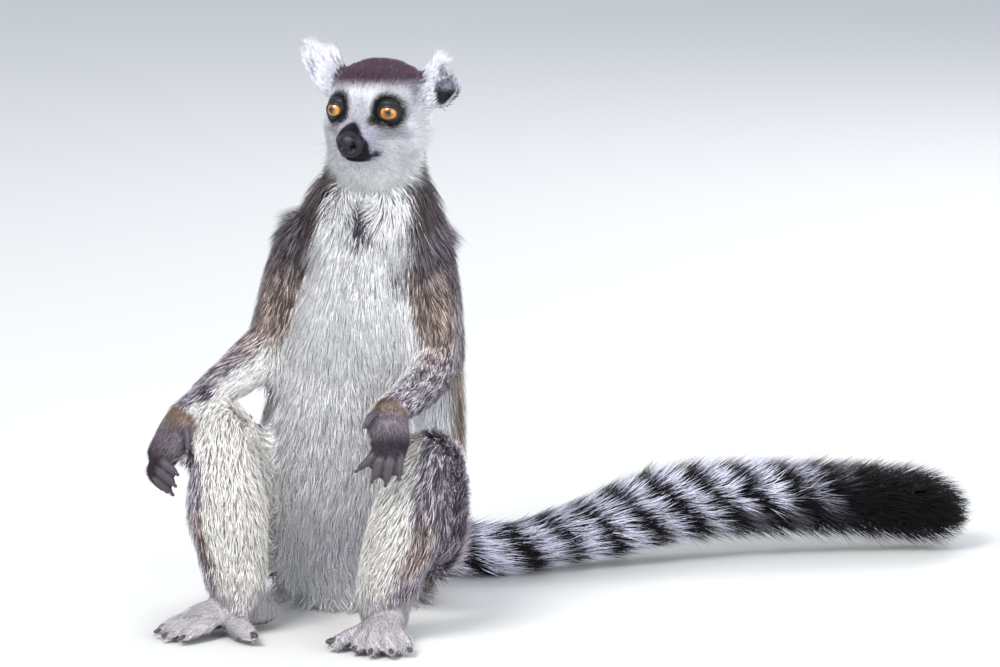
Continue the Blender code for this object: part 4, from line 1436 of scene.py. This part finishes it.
def ring(place, side, top, half_width):
    """The left, right and ridge corners of a tuft at one place."""
    half_width = half_width[:, None]
    return [place - side * half_width, place + side * half_width, place + top * half_width * RIDGE]


def above_floor(places):
    """The same places, none of them lower than the gap over the floor."""
    return np.maximum(places, (-np.inf, -np.inf, FLOOR_GAP))


def nearest_centres(roots):
    """The number of the tuft that each tuft's clump gathers round."""
    tree = KDTree(len(roots) // CLUMP_SIZE)
    for number in range(len(roots) // CLUMP_SIZE):
        tree.insert(Vector(roots[number * CLUMP_SIZE]), number * CLUMP_SIZE)
    tree.balance()
    return np.array([tree.find(Vector(root))[1] for root in roots])


def clumped(places, centres, pull):
    """Places drawn towards that of the nearest clump's own tuft."""
    return places + (places[centres] - places) * pull[:, None]


def mesh_of(name, rows, faces):
    """One mesh of many tufts: rows holds each tuft's points, faces one tuft's faces."""
    count, corners = rows.shape[:2]
    index = (np.arange(count)[:, None, None] * corners + faces).reshape(-1).astype(np.int32)
    mesh = bpy.data.meshes.new(name)
    mesh.vertices.add(count * corners)
    mesh.vertices.foreach_set("co", rows.reshape(-1).astype(np.float32))
    mesh.loops.add(len(index))
    mesh.loops.foreach_set("vertex_index", index)
    mesh.polygons.add(len(index) // 3)
    mesh.polygons.foreach_set("loop_start", np.arange(0, len(index), 3, dtype=np.int32))
    mesh.update(calc_edges=True)
    return mesh, index


# %% [markdown]
# ## The finish of the coat
#
# Each tuft is darker at its root and paler at its end. Grey and brown fur is
# agouti, with dark and pale hairs mixed, so some tufts get a dark end and some
# a bright one, more often where the markings say the fur is speckled. The
# shader adds a soft sheen. A UV map gives each tuft a small patch of its own,
# laid out round and along the skin, for an export that stores colours in images.

# %% Coat material
def coat_material():
    made, shader = new_material("fur")
    colour = add_node(made, "Attribute", "Color", attribute_name="coat")
    fill(shader, {
        "Base Color": mottled(made, colour, noise(made, 420, 2), 0.22), "Roughness": 0.62,
        "Specular IOR Level": 0.1, "Sheen Weight": 0.03, "Sheen Roughness": 0.5,
    })
    return made


fur = coat_material()

# %% Colours of the tufts
SPECKLED = 0.3  # from this much speckle on, most of a clump is alike
SHARED_IN_CLUMP = 0.5
DARK_END, DARK_HALF_WAY = 0.12, 0.38  # times the marking's colour
PALE_END, PALE_HALF_WAY = 2.3, 1.5
PLAIN_END, PLAIN_HALF_WAY, PLAIN_ROOT = 1.05, 0.95, 0.92
DARK_CHANCE, PALE_CHANCE, DARKER_ROOT = 0.5, 0.4, 0.45  # times the speckle
UNEVEN, UNEVEN_BY_SPECKLE = 0.14, 0.5  # spread of brightness from tuft to tuft
DARKEST, BRIGHTEST = 0.002, 0.97


def agouti(draw, colour, speckle, centres):
    """Colours at the root, middle and end of each tuft, alike in most of a speckled clump."""
    chance = draw.random(len(colour))
    shared = (speckle > SPECKLED) & (draw.random(len(colour)) < SHARED_IN_CLUMP)
    chance = np.where(shared, chance[centres], chance)
    even = 1 + (draw.random(len(colour)) - 0.5) * (UNEVEN + UNEVEN_BY_SPECKLE * speckle)
    dark = chance < DARK_CHANCE * speckle
    pale = chance > 1 - PALE_CHANCE * speckle
    end = np.where(dark, DARK_END, np.where(pale, PALE_END, PLAIN_END)) * even
    half_way = np.where(dark, DARK_HALF_WAY, np.where(pale, PALE_HALF_WAY, PLAIN_HALF_WAY)) * even
    root = (PLAIN_ROOT - DARKER_ROOT * np.minimum(speckle * 1.5, 1)) * even
    shares = np.stack([root, half_way, end], axis=1)
    return np.clip(colour[:, None, :] * shares[:, :, None], DARKEST, BRIGHTEST)


# %% Places of the tufts on the unwrap
# The unwrap is round the body across and up the body upwards, except on the tail,
# where it is the length along it.
PATCH_SIZE = 0.003

around_skin = np.arctan2(outward[:, 0], -outward[:, 1]) / (2 * math.pi) + 0.5
low_z, high_z = height.min(), height.max()
coat_row = np.where(tail_weight > 0.5, np.clip(tail_length / TAIL_CORE_LENGTH, 0, 1),
                    (height - low_z) / (high_z - low_z))


def lay_out(mesh, index, roots, kind):
    """The UV map of a piece of coat, with a small patch for each tuft."""
    spots = np.stack([mixed(around_skin, roots), mixed(coat_row, roots)], axis=1) * (1 - PATCH_SIZE)
    patches = spots[:, None, :] + np.array(kind["patch"]) * PATCH_SIZE
    layer = mesh.uv_layers.new(name="OFBake")
    layer.data.foreach_set("uv", patches.reshape(-1, 2)[index].ravel().astype(np.float32))


# %% Grow a piece of coat
ROOT_SINK = (0.015, 0.04, 0.35)  # share of the length that a tuft starts under the skin, and limits
STEEPER, STEEPEST, FLATTER = 1.45, 1.3, 0.5  # a tuft's first half and its second
LEAST_LIFT, MOST_LIFT = 0.06, 0.9  # how far a tuft's end rises, as shares of its length
LENGTH_SPREAD, WIDTH_SPREAD, PULL_SPREAD = (0.7, 1.1), (0.6, 1.1), (0.5, 1.0)
STAND_SPREAD = 0.5


def combed(draw, roots, mess):
    """For each tuft, the way it lies on the skin, the way out of it and the way to its side."""
    out = unit(mixed(outward, roots))
    way = mixed(lie, roots)
    way = unit(way - out * (way * out).sum(axis=1)[:, None])
    turn = np.radians(draw.normal(0, mess, len(out)))[:, None]
    way = way * np.cos(turn) + np.cross(way, out) * np.sin(turn)
    return way, out, np.cross(way, out)


def grow(name, where, count, seed, width, clump=0.3, mess=9, ragged=2.0, stand=0.5, bent=True):
    """A piece of coat over the points where the weight is above zero.

    The width is in millimetres, and clump is how far the ends of a clump are drawn together.
    The mess is in degrees off the lie, and ragged is how many millimetres a marking's border
    strays. A tuft stands up by a share of the coat's rise, from stand upwards."""
    draw = np.random.default_rng(seed)
    roots = draw_roots(draw, count, where * thickness)
    kind = BENT_TUFT if bent else SHORT_TUFT
    way, out, side = combed(draw, roots, mess)
    length = mixed(hair_length, roots) * draw.uniform(*LENGTH_SPREAD, count)
    lift = mixed(rise, roots) * draw.uniform(stand, stand + STAND_SPREAD, count) / length
    lift = np.arcsin(np.clip(lift, LEAST_LIFT, MOST_LIFT))
    half_width = width * draw.uniform(*WIDTH_SPREAD, count) * MM / 2
    sink_share, least_sink, most_sink = ROOT_SINK
    sink = np.clip(sink_share * length, least_sink, most_sink)[:, None] * MM
    root = mixed(skin_points, roots) - out * sink
    length = length[:, None] * MM
    steep, steep_top = pointing(way, out, np.minimum(lift * STEEPER, STEEPEST))
    corners = ring(root, side, steep_top, half_width)
    if bent:
        flat, flat_top = pointing(way, out, lift * FLATTER)
        centres = nearest_centres(root)
        pull = clump * draw.uniform(*PULL_SPREAD, count)
        half_way = root + steep * length * 0.5
        tip = clumped(half_way + flat * length * 0.5, centres, pull)
        half_way = above_floor(clumped(half_way, centres, pull * HALF_WAY_PULL))
        corners += ring(half_way, side, flat_top, half_width * HALF_WAY_WIDTH)
    else:
        centres = np.arange(count)
        tip = root + pointing(way, out, lift)[0] * length
    mesh, index = mesh_of(name, above_floor(np.stack([*corners, tip], axis=1)), kind["faces"])
    place = mixed(points, roots) + draw.normal(0, ragged, (count, 3)) * MM
    colour, speckle = markings(place, nodes[roots[0][:, 0]], out)
    shades = agouti(draw, colour, speckle, centres)[:, kind["stages"]]
    add_colour_attribute(mesh, "coat", shades.reshape(-1, 3))
    lay_out(mesh, index, roots, kind)
    add_piece(name, mesh, fur)


# %% [markdown]
# ## The pieces of the coat
#
# The coat is cut into pieces by parts of the body, so that none gets too heavy
# to handle. Neighbours share nothing but a ragged border, which the tufts hide.

# %% Coat of the head
face_share = on_head * step_up(ahead, -26, -12)
crown_share = on_head * (1 - face_share)
grow("coat_face", face_share, 44000, 1, 0.42, mess=9, ragged=0.8, bent=False)
grow("coat_crown", crown_share, 10500, 2, 0.6, clump=0.15, mess=10, ragged=1.6)
grow("coat_ears", on_ear, 6500, 3, 0.5, clump=0.5, mess=10)

# %% Coat of the trunk
on_trunk = part_of_body("trunk", "neck")
chest = step_up(height, 195, 205)
front = step_up(-outward[:, 1], -0.15, 0.15)
grow("coat_chest", on_trunk * chest * front, 14500, 4, 0.68, clump=0.4, mess=8, ragged=4)
grow("coat_belly", on_trunk * (1 - chest) * front, 15500, 5, 0.62, clump=0.35, mess=13,
     stand=0.3)
grow("coat_back", on_trunk * (1 - front), 13500, 6, 1.0, clump=0.3, mess=9, ragged=3)

# %% Coat of the limbs
for side, seed in (("left", 7), ("right", 11)):
    arm = part_of_body("upper_arm_" + side, "forearm_" + side)
    leg = part_of_body("thigh_" + side, "shank_" + side)
    grow("coat_arm_" + side, arm, 8500, seed, 0.75, clump=0.3, mess=11)
    grow("coat_leg_" + side, leg, 10500, seed + 1, 0.8, clump=0.4, mess=12)
grow("coat_hands", part_of_body("hand"), 12000, 15, 0.45, ragged=1, bent=False)
grow("coat_feet", part_of_body("foot"), 12500, 16, 0.5, ragged=1, bent=False)

# %% Coat of the tail
TAIL_SPLIT = 235  # along the tail, where one piece of its coat ends and the next begins

on_tail = part_of_body("tail")
tail_base = tail_length < TAIL_SPLIT
grow("coat_tail_base", on_tail * tail_base, 12500, 17, 1.0, clump=0.4, mess=12, stand=0.8)
grow("coat_tail_end", on_tail * ~tail_base, 14500, 18, 1.0, clump=0.5, mess=16, stand=1.0)
